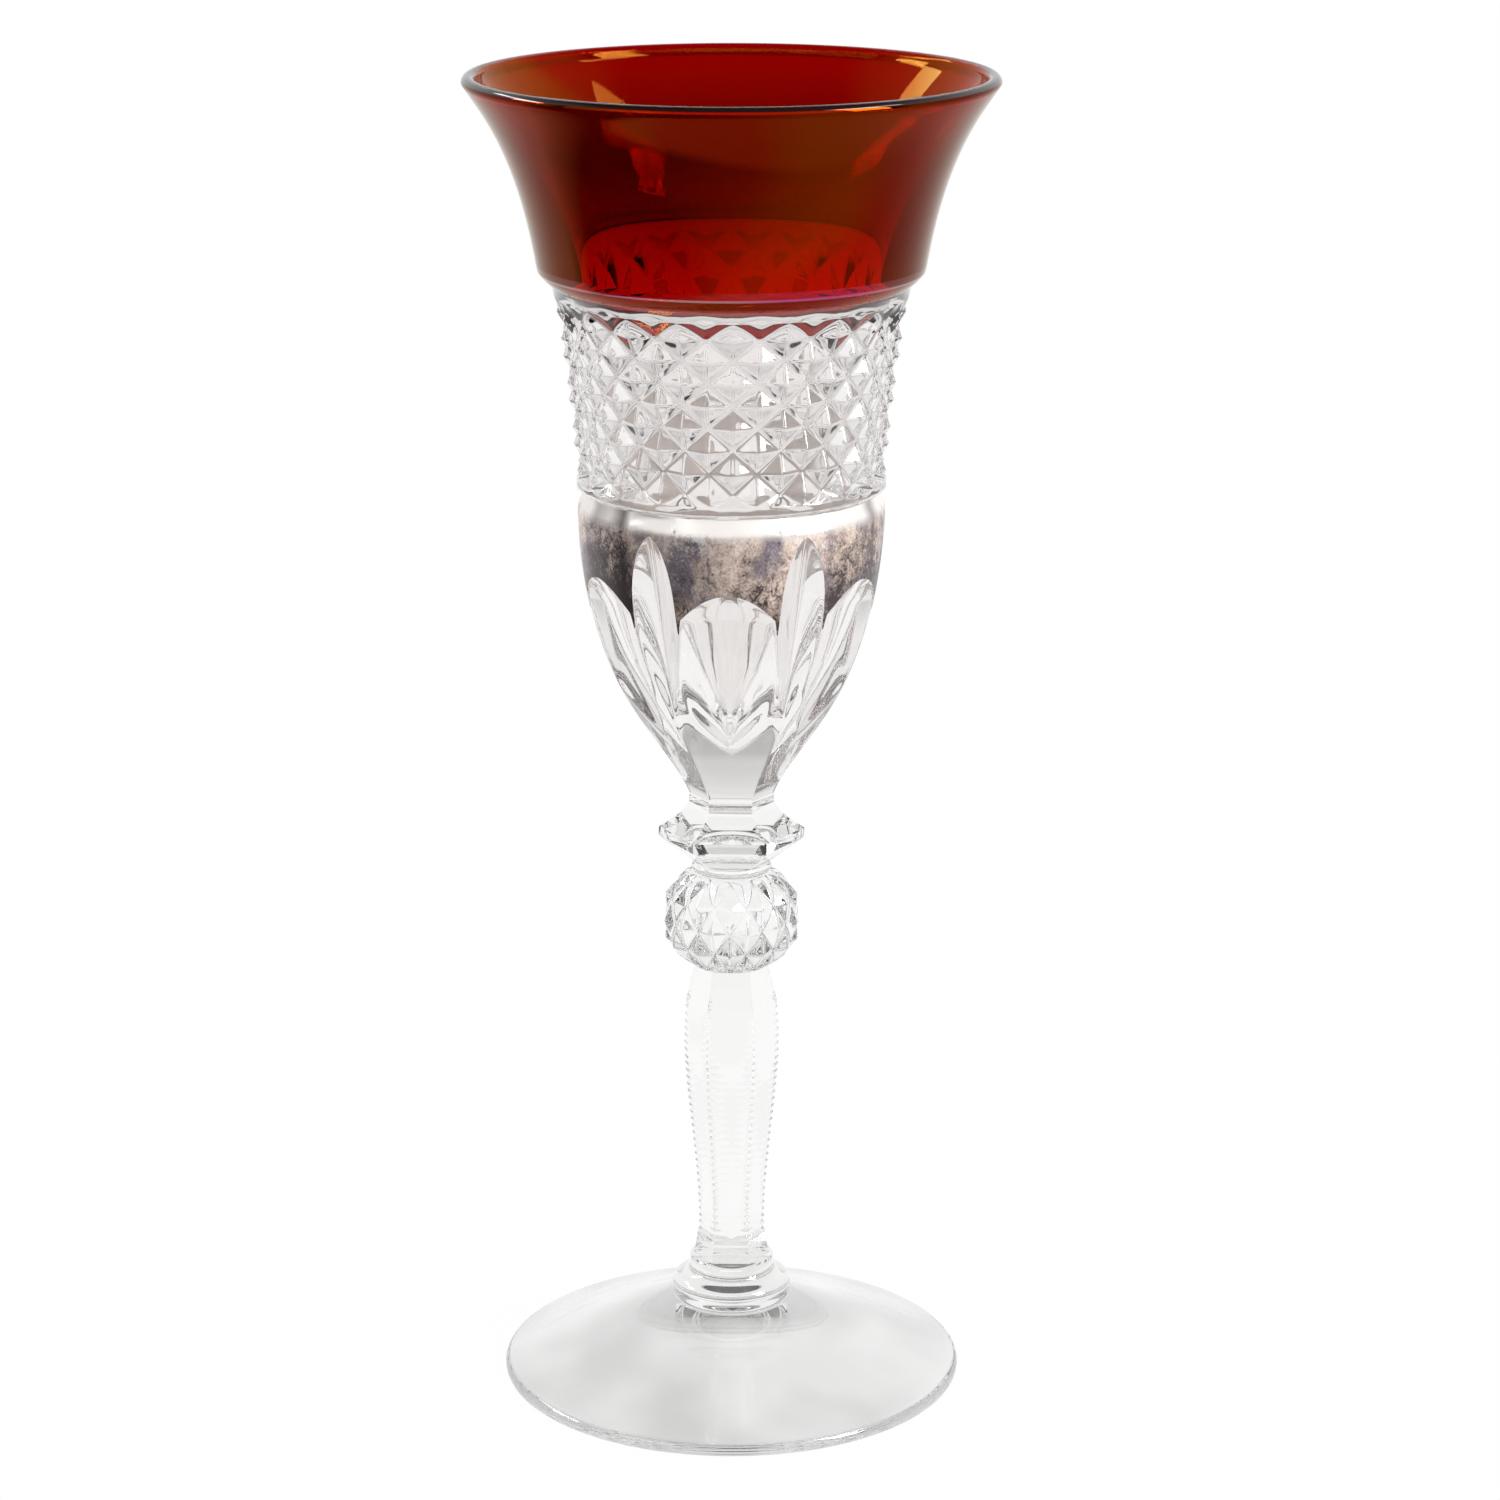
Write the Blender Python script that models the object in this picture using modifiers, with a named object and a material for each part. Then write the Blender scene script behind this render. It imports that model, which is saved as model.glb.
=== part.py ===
"""Champagne glass: cut crystal bowl, ruby flash, silver lustre, knopped hexagonal stem and foot.

Run it with blender --background --python part.py, or from Blender's text editor.
Lengths are in metres, +Z is up, the glass stands on z = 0 and its axis is the Z axis.
The sixfold cutting has a flat towards -Y, so the hexagonal pieces have corners on +X and -X.
"""

import math

import bmesh
import bpy
from mathutils import Matrix, Vector
from mathutils.geometry import interpolate_bezier

GLASS_NAME = "champagne_glass"

# Joints and films
JOINT_GAP = 0.0003
FILM_GAP = 0.0003
FILM_THICKNESS = 0.0003

# Foot
FOOT_DIAMETER = 0.0712
FOOT_HEIGHT = 0.0120
FOOT_EDGE = 0.0023
FOOT_WALL = 0.0030
REST_RING_WIDTH = 0.0012

# Button between the foot and the stem
BUTTON_DIAMETER = 0.0184
BUTTON_TOP_DIAMETER = 0.0130
BUTTON_HEIGHT = 0.0064
BUTTON_STEP = 0.0013
BUTTON_EDGE = 0.0018
BUTTON_EDGE_ROUND = 0.0005

# Hexagonal baluster stem, measured across its corners
STEM_LENGTH = 0.0477
STEM_TOP_ACROSS = 0.0112
STEM_SWELL_ACROSS = 0.0147
STEM_WAIST_ACROSS = 0.0103
STEM_BASE_ACROSS = 0.0117
STEM_SWELL_FROM_TOP = 0.0137
STEM_WAIST_FROM_BASE = 0.0060
NOTCH_PITCH = 0.00115
NOTCH_DEPTH = 0.00038
NOTCH_PLAIN_TOP = 0.0062
NOTCH_PLAIN_BASE = 0.0032

# Diamond-cut knop
KNOP_HEIGHT = 0.0146
KNOP_DIAMETER = 0.0213
KNOP_END_DIAMETER = 0.0128
KNOP_POINTS = 12
KNOP_ROWS = 4
KNOP_GROOVE = 0.0007
KNOP_SQUARENESS = 2.6
KNOP_BASE_ACROSS = 0.0140

# Wafer and hexagonal collar
WAFER_HEIGHT = 0.0012
WAFER_DIAMETER = 0.0122
COLLAR_HEIGHT = 0.0090
COLLAR_ACROSS = 0.0222
COLLAR_RIM = 0.0015
COLLAR_TOP_ACROSS = 0.0130
COLLAR_BASE_ACROSS = 0.0122
COLLAR_SLOPE = 0.0036

# Bowl heights, from its base upwards
CUP_HEIGHT = 0.0457
THROAT_HEIGHT = 0.0122
NECK_STRAIGHT = 0.0009
GROOVE_HEIGHT = 0.0036
GROOVE_LIP = 0.0006
FOOT_RING_HEIGHT = 0.0011
POINT_PITCH = 0.00331
POINT_ROWS = 8
RUN_OUT_TOP = 0.0028
RUN_OUT_BASE = 0.0017
PLAIN_BAND_HEIGHT = 0.0015
RUBY_HEIGHT = 0.0307

# Bowl diameters
RIM_DIAMETER = 0.0788
LIP_ROUND = 0.0011
RUBY_BASE_DIAMETER = 0.0574
BAND_TOP_DIAMETER = 0.0530
BAND_BASE_DIAMETER = 0.0462
GROOVE_DIAMETER = 0.0440
SHOULDER_DIAMETER = 0.0458
THROAT_DIAMETER = 0.0270
NECK_DIAMETER = 0.0131
RUBY_SHOULDER = 0.0022

# Bowl walls
RIM_WALL = 0.0022
BAND_WALL = 0.0034
SHOULDER_WALL = 0.0029
BASE_THICKNESS = 0.0117

# Diamond points of the band
POINT_COUNT = 20
POINT_TURN_DEGREES = 2.0
POINT_DEPTH = 0.0014
POINT_SETBACK = 0.0001

# Sixfold cutting of the cup
CUT_SIDES = 6
PANEL_HEIGHT = 0.0230
PANEL_PLAIN_HEIGHT = 0.0095
PANEL_TOP_SHARE = 0.965
PANEL_STEPS = 8
PANEL_SETBACK = 0.0001
SCOOP_TOP = 0.0369
SCOOP_BASE = 0.0119
SCOOP_HALF_WIDTH = 0.0088
SCOOP_HALF_LENGTH = 0.0175
SCOOP_HALF_DEPTH = 0.0046
SPEAR_TOP = 0.0457
SPEAR_BASE = 0.0036
SPEAR_DEPTH = 0.0021
SPEAR_CLEARANCE = 0.0001
SPEAR_RISE = 1.0
SPEAR_FALL = 2.0
SPEAR_ROUND_TOP = 0.0068
SPEAR_ROUND_BASE = 0.0034
LUSTRE_HEIGHT = 0.0172

# Bends: two handles of a curve, as shares of the way across and along from its start to its end
FLARE_BEND = ((0.18, 0.12), (0.73, 0.33))
RUBY_SHOULDER_BEND = ((0.12, 0.24), (0.66, 0.80))
BAND_BEND = ((0.42, 0.33), (0.78, 0.67))
DIP_BEND = ((0.00, 0.40), (1.00, 0.52))
CUP_BEND = ((0.00, 0.30), (0.22, 0.65))
THROAT_BEND = ((0.45, 0.42), (1.00, 0.84))
HOLLOW_CUP_BEND = ((0.20, 0.02), (0.80, 0.40))
HOLLOW_BAND_BEND = ((0.25, 0.35), (0.70, 0.75))
HOLLOW_FLARE_BEND = ((0.09, 0.19), (0.45, 0.60))
COLLAR_BEND = ((0.20, 0.45), (0.55, 0.70))
STEM_TOP_BEND = ((0.88, 0.48), (1.00, 0.48))
STEM_BODY_BEND = ((0.00, 0.22), (1.00, 0.70))
STEM_BASE_BEND = ((0.00, 0.50), (0.70, 0.80))
BUTTON_BEND = ((0.10, 0.54), (1.00, 0.38))
BUTTON_EDGE_BEND = ((0.00, 0.57), (0.20, 1.00))
FOOT_BEND = ((0.23, 0.27), (0.63, 0.83))
FOOT_HOLLOW_BEND = ((0.30, 0.27), (0.72, 1.00))

# Facets
ROUND_STEPS = 40
SMALL_ROUND_STEPS = 28
SCOOP_STEPS = 22
SPEAR_STATIONS = 12
SPEAR_SIDES = 12
SHARP_ANGLE = math.radians(16)

# Reach of a cutter past what it cuts, and the drop over which a path's slope is read
CUT_MARGIN = 0.003
SLOPE_STEP = 0.0009

# Levels where one piece ends and the next begins
BUTTON_BASE = FOOT_HEIGHT + JOINT_GAP
STEM_BASE = BUTTON_BASE + BUTTON_HEIGHT + JOINT_GAP
KNOP_BASE = STEM_BASE + STEM_LENGTH + JOINT_GAP
WAFER_BASE = KNOP_BASE + KNOP_HEIGHT + JOINT_GAP
COLLAR_BASE = WAFER_BASE + WAFER_HEIGHT + JOINT_GAP
BOWL_BASE = COLLAR_BASE + COLLAR_HEIGHT + JOINT_GAP
SHOULDER_LEVEL = BOWL_BASE + CUP_HEIGHT
GROOVE_TOP = SHOULDER_LEVEL + GROOVE_HEIGHT
POINTS_BASE = GROOVE_TOP + FOOT_RING_HEIGHT
POINTS_TOP = POINTS_BASE + RUN_OUT_BASE + (POINT_ROWS - 1) * POINT_PITCH + RUN_OUT_TOP
RUBY_BASE = POINTS_TOP + PLAIN_BAND_HEIGHT
LIP_LEVEL = RUBY_BASE + RUBY_HEIGHT


def clear_scene():
    """Remove every object and collection that the file opens with."""
    for obj in list(bpy.data.objects):
        bpy.data.objects.remove(obj)
    for collection in list(bpy.data.collections):
        bpy.data.collections.remove(collection)


def make_collection(name, parent):
    collection = bpy.data.collections.new(name)
    parent.children.link(collection)
    return collection


def make_material(name, colour, roughness, metallic=0.0, transmission=0.0):
    """Return a Principled material for one sub-part."""
    material = bpy.data.materials.new(name)
    material.use_nodes = True
    shader = material.node_tree.nodes["Principled BSDF"]
    shader.inputs["Base Color"].default_value = (*colour, 1.0)
    shader.inputs["Roughness"].default_value = roughness
    shader.inputs["Metallic"].default_value = metallic
    shader.inputs["Transmission Weight"].default_value = transmission
    shader.inputs["IOR"].default_value = 1.54
    return material


def curve(start, end, bend, count):
    """Return points of one Bezier stretch of a profile, as (radius, height) pairs."""
    knots = []
    for across, along in ((0.0, 0.0), *bend, (1.0, 1.0)):
        radius = start[0] + across * (end[0] - start[0])
        height = start[1] + along * (end[1] - start[1])
        knots.append(Vector((radius, height, 0.0)))
    return [(point.x, point.y) for point in interpolate_bezier(*knots, count)]


def arc(centre, radius, start_degrees, end_degrees, count):
    """Return points of a circular stretch of a profile, angles measured from outwards to upwards."""
    points = []
    for index in range(count + 1):
        angle = math.radians(start_degrees + (end_degrees - start_degrees) * index / count)
        points.append((centre[0] + radius * math.cos(angle), centre[1] + radius * math.sin(angle)))
    return points


def inset(path, distance):
    """Return a path that runs downwards on an outer side, moved into the glass by a distance."""
    moved = []
    for index, point in enumerate(path):
        before = Vector(path[max(index - 1, 0)])
        after = Vector(path[min(index + 1, len(path) - 1)])
        along = (after - before).normalized()
        moved.append((point[0] + along.y * distance, point[1] - along.x * distance))
    return moved


def trimmed(path, gap):
    """Return a path whose two ends are drawn back along it by a gap."""
    first = Vector(path[0]) + (Vector(path[1]) - Vector(path[0])).normalized() * gap
    last = Vector(path[-1]) + (Vector(path[-2]) - Vector(path[-1])).normalized() * gap
    return [tuple(first)] + list(path[1:-1]) + [tuple(last)]


def radius_at(path, height):
    """Return a downward path's radius at a height, between its points."""
    for (r_high, z_high), (r_low, z_low) in zip(path, path[1:]):
        if z_low <= height <= z_high and z_high > z_low:
            share = (height - z_low) / (z_high - z_low)
            return r_low + (r_high - r_low) * share
    raise ValueError("the path does not reach this height")


def add_object(name, mesh, collection, material=None):
    obj = bpy.data.objects.new(name, mesh)
    collection.objects.link(obj)
    if material:
        mesh.materials.append(material)
    return obj


def mesh_from(name, bm):
    """Close a bmesh into a new mesh with outward normals."""
    bmesh.ops.recalc_face_normals(bm, faces=bm.faces)
    mesh = bpy.data.meshes.new(name)
    bm.to_mesh(mesh)
    bm.free()
    return mesh


def turned(name, profile, steps, collection, material=None, ring=False):
    """Turn a profile about Z with a Screw modifier; six steps give a hexagonal piece."""
    mesh = bpy.data.meshes.new(name)
    edges = [(index, index + 1) for index in range(len(profile) - 1)]
    if ring:
        edges.append((len(profile) - 1, 0))
    mesh.from_pydata([(r, 0.0, z) for r, z in profile], edges, [])
    obj = add_object(name, mesh, collection, material)
    screw = obj.modifiers.new("Turn", "SCREW")
    screw.axis = "Z"
    screw.steps = steps
    screw.render_steps = steps
    screw.use_merge_vertices = True
    screw.merge_threshold = 0.000001
    return obj


def combine(obj, operation, cutter=None, group=None):
    """Cut an object with one cutter, or with all the cutters of a collection."""
    boolean = obj.modifiers.new(operation.title(), "BOOLEAN")
    boolean.operation = operation
    boolean.solver = "EXACT"
    if group:
        boolean.operand_type = "COLLECTION"
        boolean.collection = group
    else:
        boolean.object = cutter


def as_cutter(obj):
    obj.hide_render = True
    obj.display_type = "WIRE"
    return obj


def finish(obj):
    """Make an object's modifiers real and shade it smooth between its sharp edges."""
    depsgraph = bpy.context.evaluated_depsgraph_get()
    mesh = bpy.data.meshes.new_from_object(obj.evaluated_get(depsgraph))
    obj.modifiers.clear()
    obj.data = mesh
    mesh.shade_smooth()
    mesh.set_sharp_from_angle(angle=SHARP_ANGLE)


def diamond_skin(levels, count, turn, corner_radius, point_radius):
    """Return a bmesh sleeve of four-sided points on a lattice of crossing grooves.

    Each level holds count crossings, and every other level is turned by half a pitch.
    corner_radius(row) and point_radius(height) give the grooves' and the points' radii.
    """
    bm = bmesh.new()
    pitch = 2.0 * math.pi / count
    rows = []
    for row, level in enumerate(levels):
        radius = corner_radius(row)
        angles = [turn + (index + 0.5 * (row % 2)) * pitch for index in range(count)]
        rows.append([bm.verts.new((radius * math.cos(a), radius * math.sin(a), level)) for a in angles])

    faces = []
    last = len(levels) - 1
    for row in range(last + 1):
        odd = row % 2
        for index in range(count):
            here = rows[row][index]
            near, far = (index, (index + 1) % count) if odd else (index - 1, index)
            if row + 2 <= last:
                faces.append((here, rows[row + 1][far], rows[row + 2][index], rows[row + 1][near]))
            if row == 0:
                faces.append((rows[0][index], rows[0][(index + 1) % count], rows[1][index]))
            if row == last:
                beside = rows[row][(index + 1) % count]
                below = rows[row - 1][far] if odd else rows[row - 1][index]
                faces.append((beside, here, below))
    made = [bm.faces.new(face) for face in faces]
    points = bmesh.ops.poke(bm, faces=made)["verts"]
    for point in points:
        outwards = Vector((point.co.x, point.co.y, 0.0)).normalized()
        point.co = outwards * point_radius(point.co.z) + Vector((0.0, 0.0, point.co.z))
    return bm


def boundary_loops(bm):
    """Return the open edges of a sleeve as two lists, lower loop first."""
    edges = [edge for edge in bm.edges if edge.is_boundary]
    middle = sum(vert.co.z for vert in bm.verts) / len(bm.verts)
    lower = [edge for edge in edges if edge.verts[0].co.z < middle]
    upper = [edge for edge in edges if edge.verts[0].co.z >= middle]
    return lower, upper


def bowl_paths():
    """Return the named stretches of the bowl's outside, each running downwards."""
    rim = RIM_DIAMETER / 2
    ruby_base = RUBY_BASE_DIAMETER / 2
    band_top = BAND_TOP_DIAMETER / 2
    band_base = BAND_BASE_DIAMETER / 2
    shoulder = SHOULDER_DIAMETER / 2
    neck = NECK_DIAMETER / 2
    flare_top = LIP_LEVEL - LIP_ROUND
    step_top = (ruby_base, RUBY_BASE + RUBY_SHOULDER)
    bend = (THROAT_DIAMETER / 2, BOWL_BASE + THROAT_HEIGHT)

    lip = arc((rim - LIP_ROUND, flare_top), LIP_ROUND, 90, 0, 3)
    flare = curve((rim, flare_top), step_top, FLARE_BEND, 7)
    step = curve(step_top, (band_top, RUBY_BASE), RUBY_SHOULDER_BEND, 4)
    band = curve((band_top, RUBY_BASE), (band_base, POINTS_BASE), BAND_BEND, 5)
    ring = [(band_base, POINTS_BASE), (band_base, GROOVE_TOP)]
    dip = curve((GROOVE_DIAMETER / 2, GROOVE_TOP - GROOVE_LIP), (shoulder, SHOULDER_LEVEL), DIP_BEND, 4)
    cup = curve((shoulder, SHOULDER_LEVEL), bend, CUP_BEND, 9)
    throat = curve(bend, (neck, BOWL_BASE + NECK_STRAIGHT), THROAT_BEND, 6)
    return {"lip": lip, "ruby": flare + step[1:], "band": band, "ring": ring, "dip": dip,
            "cup": cup + throat[1:], "neck": [throat[-1], (neck, BOWL_BASE)]}


def split_lustre(paths):
    """Return the lustre's stretch of the outside and the bare stretch of the cup below it."""
    lowest = GROOVE_TOP - LUSTRE_HEIGHT
    dressed = paths["dip"][1:] + [point for point in paths["cup"][1:] if point[1] > lowest]
    end = (radius_at(paths["cup"], lowest), lowest)
    bare = [end] + [point for point in paths["cup"] if point[1] < lowest]
    return dressed + [end], bare


def bowl_inside():
    """Return the bowl's inner side, running upwards from the bottom to the lip."""
    floor = BOWL_BASE + BASE_THICKNESS
    shoulder = (SHOULDER_DIAMETER / 2 - SHOULDER_WALL, SHOULDER_LEVEL)
    band_top = (BAND_TOP_DIAMETER / 2 - BAND_WALL, RUBY_BASE)
    rim = (RIM_DIAMETER / 2 - RIM_WALL, LIP_LEVEL - LIP_ROUND)
    cup = curve((0.0, floor), shoulder, HOLLOW_CUP_BEND, 8)
    band = curve(shoulder, band_top, HOLLOW_BAND_BEND, 4)
    flare = curve(band_top, rim, HOLLOW_FLARE_BEND, 6)
    return cup + band[1:] + flare[1:]


def make_point_cutter(paths, group):
    """Make the ring that leaves diamond points standing on the band."""
    path = paths["band"]
    levels = [POINTS_BASE]
    levels += [POINTS_BASE + RUN_OUT_BASE + row * POINT_PITCH for row in range(POINT_ROWS)]
    levels.append(POINTS_TOP)
    last = len(levels) - 1

    def corner_radius(row):
        blank = radius_at(path, levels[row])
        if row in (0, last):
            return (blank + POINT_SETBACK) / math.cos(math.pi / POINT_COUNT)
        return blank - POINT_SETBACK - POINT_DEPTH

    def point_radius(height):
        return radius_at(path, height) - POINT_SETBACK

    turn = math.radians(POINT_TURN_DEGREES - 90.0)
    bm = diamond_skin(levels, POINT_COUNT, turn, corner_radius, point_radius)
    outside = BAND_TOP_DIAMETER / 2 + CUT_MARGIN
    outer_edges = []
    for loop in boundary_loops(bm):
        moved = bmesh.ops.extrude_edge_only(bm, edges=loop)["geom"]
        for vert in (item for item in moved if isinstance(item, bmesh.types.BMVert)):
            flat = Vector((vert.co.x, vert.co.y, 0.0)).normalized() * outside
            vert.co = flat + Vector((0.0, 0.0, vert.co.z))
        outer_edges += [item for item in moved if isinstance(item, bmesh.types.BMEdge)]
    bmesh.ops.bridge_loops(bm, edges=outer_edges)
    return as_cutter(add_object("point_cutter", mesh_from("point_cutter", bm), group))


def panel_line(paths):
    """Return the line down the middle of a panel, which nears the round cup towards its top."""
    flat_share = math.cos(math.pi / CUT_SIDES)
    plain = BOWL_BASE + PANEL_PLAIN_HEIGHT
    line = []
    for step in range(PANEL_STEPS):
        done = 1.0 - step / PANEL_STEPS
        level = plain + (PANEL_HEIGHT - PANEL_PLAIN_HEIGHT) * done
        share = flat_share + (PANEL_TOP_SHARE - flat_share) * done * done * (3.0 - 2.0 * done)
        line.append(((radius_at(paths["cup"], level) - PANEL_SETBACK) * share, level))
    line.append(((radius_at(paths["cup"], plain) - PANEL_SETBACK) * flat_share, plain))
    rest = [point for point in paths["cup"] + paths["neck"][1:] if point[1] < plain]
    return line + [((r - PANEL_SETBACK) * flat_share, z) for r, z in rest]


def make_panel_cutters(paths, group):
    """Make the six blocks that cut the hexagonal panels of the neck."""
    outside = SHOULDER_DIAMETER / 2 + CUT_MARGIN
    below = BOWL_BASE - CUT_MARGIN
    line = panel_line(paths)
    outline = [(outside, line[0][1] + outside - line[0][0])] + line
    outline += [(line[-1][0], below), (outside, below)]
    for side in range(CUT_SIDES):
        bm = bmesh.new()
        face = bm.faces.new([bm.verts.new((-outside / 2, -r, z)) for r, z in outline])
        moved = bmesh.ops.extrude_face_region(bm, geom=[face])["geom"]
        verts = [item for item in moved if isinstance(item, bmesh.types.BMVert)]
        bmesh.ops.translate(bm, verts=verts, vec=(outside, 0.0, 0.0))
        turn = Matrix.Rotation(side * 2 * math.pi / CUT_SIDES, 3, "Z")
        bmesh.ops.rotate(bm, verts=bm.verts, matrix=turn)
        name = f"panel_cutter_{side + 1}"
        as_cutter(add_object(name, mesh_from(name, bm), group))


def make_scoop_cutters(paths, group):
    """Make the six ellipsoids that cut the arched scoops, each through its own top and base points."""
    flat_share = math.cos(math.pi / CUT_SIDES)
    top_level = BOWL_BASE + SCOOP_TOP
    base_level = BOWL_BASE + SCOOP_BASE
    top = Vector((radius_at(paths["cup"], top_level), top_level))
    base = Vector((radius_at(paths["cup"], base_level) * flat_share, base_level))
    along = (top - base).normalized()
    outwards = Vector((along.y, -along.x))
    half_chord = (top - base).length / 2
    lift = SCOOP_HALF_DEPTH * math.sqrt(1.0 - (half_chord / SCOOP_HALF_LENGTH) ** 2)
    centre = (top + base) / 2 + outwards * lift
    tilt = math.atan2(along.x, along.y)
    sizes = Matrix.Diagonal((SCOOP_HALF_WIDTH, SCOOP_HALF_DEPTH, SCOOP_HALF_LENGTH, 1.0))
    for side in range(CUT_SIDES):
        bm = bmesh.new()
        turn = Matrix.Rotation(side * 2 * math.pi / CUT_SIDES, 4, "Z")
        place = Matrix.Translation((0.0, -centre.x, centre.y)) @ Matrix.Rotation(tilt, 4, "X")
        bmesh.ops.create_uvsphere(bm, u_segments=SCOOP_STEPS, v_segments=SCOOP_STEPS, radius=1.0,
                                  matrix=turn @ place @ sizes)
        name = f"scoop_cutter_{side + 1}"
        as_cutter(add_object(name, mesh_from(name, bm), group))


def spear_path(paths):
    """Return the spear tool's centre line and radii, from its top to its base."""
    skin = paths["dip"] + paths["cup"][1:]
    stations = []
    peak = SPEAR_RISE / (SPEAR_RISE + SPEAR_FALL)
    fullest = peak ** SPEAR_RISE * (1.0 - peak) ** SPEAR_FALL
    for index in range(SPEAR_STATIONS + 1):
        share = index / SPEAR_STATIONS
        level = BOWL_BASE + SPEAR_TOP + (SPEAR_BASE - SPEAR_TOP) * share
        below = level - SLOPE_STEP
        here = Vector((radius_at(skin, level), level))
        along = (Vector((radius_at(skin, below), below)) - here).normalized()
        outwards = Vector((-along.y, along.x))
        tool = SPEAR_ROUND_TOP + (SPEAR_ROUND_BASE - SPEAR_ROUND_TOP) * share
        swell = share ** SPEAR_RISE * (1.0 - share) ** SPEAR_FALL / fullest
        depth = (SPEAR_DEPTH + SPEAR_CLEARANCE) * swell - SPEAR_CLEARANCE
        stations.append((here + outwards * (tool - depth), tool))
    return stations


def make_spear_cutters(paths, group):
    """Make the six bent tapering tools that cut the spears between the scoops."""
    stations = spear_path(paths)
    depsgraph = bpy.context.evaluated_depsgraph_get()
    for side in range(CUT_SIDES):
        name = f"spear_cutter_{side + 1}"
        data = bpy.data.curves.new(name, "CURVE")
        data.dimensions = "3D"
        data.bevel_depth = 1.0
        data.bevel_resolution = SPEAR_SIDES // 2 - 2
        data.use_fill_caps = True
        spline = data.splines.new("POLY")
        spline.points.add(len(stations) - 1)
        angle = (side + 0.5) * 2 * math.pi / CUT_SIDES - math.pi / 2
        for point, (centre, tool) in zip(spline.points, stations):
            point.co = (centre.x * math.cos(angle), centre.x * math.sin(angle), centre.y, 1.0)
            point.radius = tool
        line = add_object(name + "_line", data, group)
        depsgraph.update()
        mesh = bpy.data.meshes.new_from_object(line.evaluated_get(depsgraph))
        bpy.data.objects.remove(line)
        bm = bmesh.new()
        bm.from_mesh(mesh)
        bmesh.ops.remove_doubles(bm, verts=bm.verts, dist=0.000001)
        as_cutter(add_object(name, mesh_from(name, bm), group))


def make_bowl(parts, cutters, paths):
    """Make the clear bowl: turned blank, recesses for the films, diamond points and sixfold cuts."""
    recess = FILM_THICKNESS + FILM_GAP
    dressed, bare = split_lustre(paths)
    outside = paths["lip"] + inset(paths["ruby"], recess) + paths["band"] + paths["ring"][1:]
    outside += paths["dip"][:1] + inset(dressed, recess) + bare + paths["neck"][1:]
    profile = bowl_inside() + outside + [(0.0, BOWL_BASE)]
    glass = make_material("bowl", (0.96, 0.97, 0.97), 0.02, transmission=1.0)
    bowl = turned("bowl", profile, ROUND_STEPS, parts, glass)
    combine(bowl, "DIFFERENCE", cutter=cutters["points"])
    combine(bowl, "DIFFERENCE", group=cutters["panels"])
    combine(bowl, "DIFFERENCE", group=cutters["scoops"])
    combine(bowl, "DIFFERENCE", group=cutters["spears"])
    finish(bowl)


def make_film(name, path, parts, material):
    """Return a thin turned shell whose outer side lies on a stretch of the bowl's outside."""
    outer = trimmed(path, FILM_GAP)
    inner = inset(outer, FILM_THICKNESS)
    return turned(name, outer + inner[::-1], ROUND_STEPS, parts, material, ring=True)


def make_ruby_flash(parts, paths):
    ruby = make_material("ruby_flash", (0.45, 0.015, 0.01), 0.06, transmission=0.8)
    finish(make_film("ruby_flash", paths["ruby"], parts, ruby))


def make_silver_lustre(parts, cutters, paths):
    """Make the lustre band, scalloped where the scoops and spears cut through it."""
    silver = make_material("silver_lustre", (0.30, 0.23, 0.22), 0.35, metallic=1.0)
    film = make_film("silver_lustre", split_lustre(paths)[0], parts, silver)
    combine(film, "DIFFERENCE", group=cutters["scoops"])
    combine(film, "DIFFERENCE", group=cutters["spears"])
    finish(film)


def make_collar(parts):
    """Make the hexagonal collar under the bowl, with a flared top and a narrow vertical rim."""
    top = COLLAR_BASE + COLLAR_HEIGHT
    corner = COLLAR_ACROSS / 2
    neck = COLLAR_TOP_ACROSS / 2
    seat = COLLAR_BASE_ACROSS / 2
    rim_base = COLLAR_BASE + COLLAR_SLOPE
    rim_top = rim_base + COLLAR_RIM
    flare = curve((neck, top), (corner, rim_top), COLLAR_BEND, 6)
    profile = [(0.0, top)] + flare + [(corner, rim_base), (seat, COLLAR_BASE), (0.0, COLLAR_BASE)]
    glass = make_material("hex_collar", (0.95, 0.96, 0.96), 0.02, transmission=1.0)
    finish(turned("hex_collar", profile, CUT_SIDES, parts, glass))


def make_wafer(parts):
    """Make the round wafer of glass that joins the collar to the knop."""
    half = WAFER_HEIGHT / 2
    edge = arc((WAFER_DIAMETER / 2 - half, WAFER_BASE + half), half, 90, -90, 4)
    profile = [(0.0, WAFER_BASE + WAFER_HEIGHT)] + edge + [(0.0, WAFER_BASE)]
    glass = make_material("neck_wafer", (0.95, 0.96, 0.96), 0.02, transmission=1.0)
    finish(turned("neck_wafer", profile, SMALL_ROUND_STEPS, parts, glass))


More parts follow.
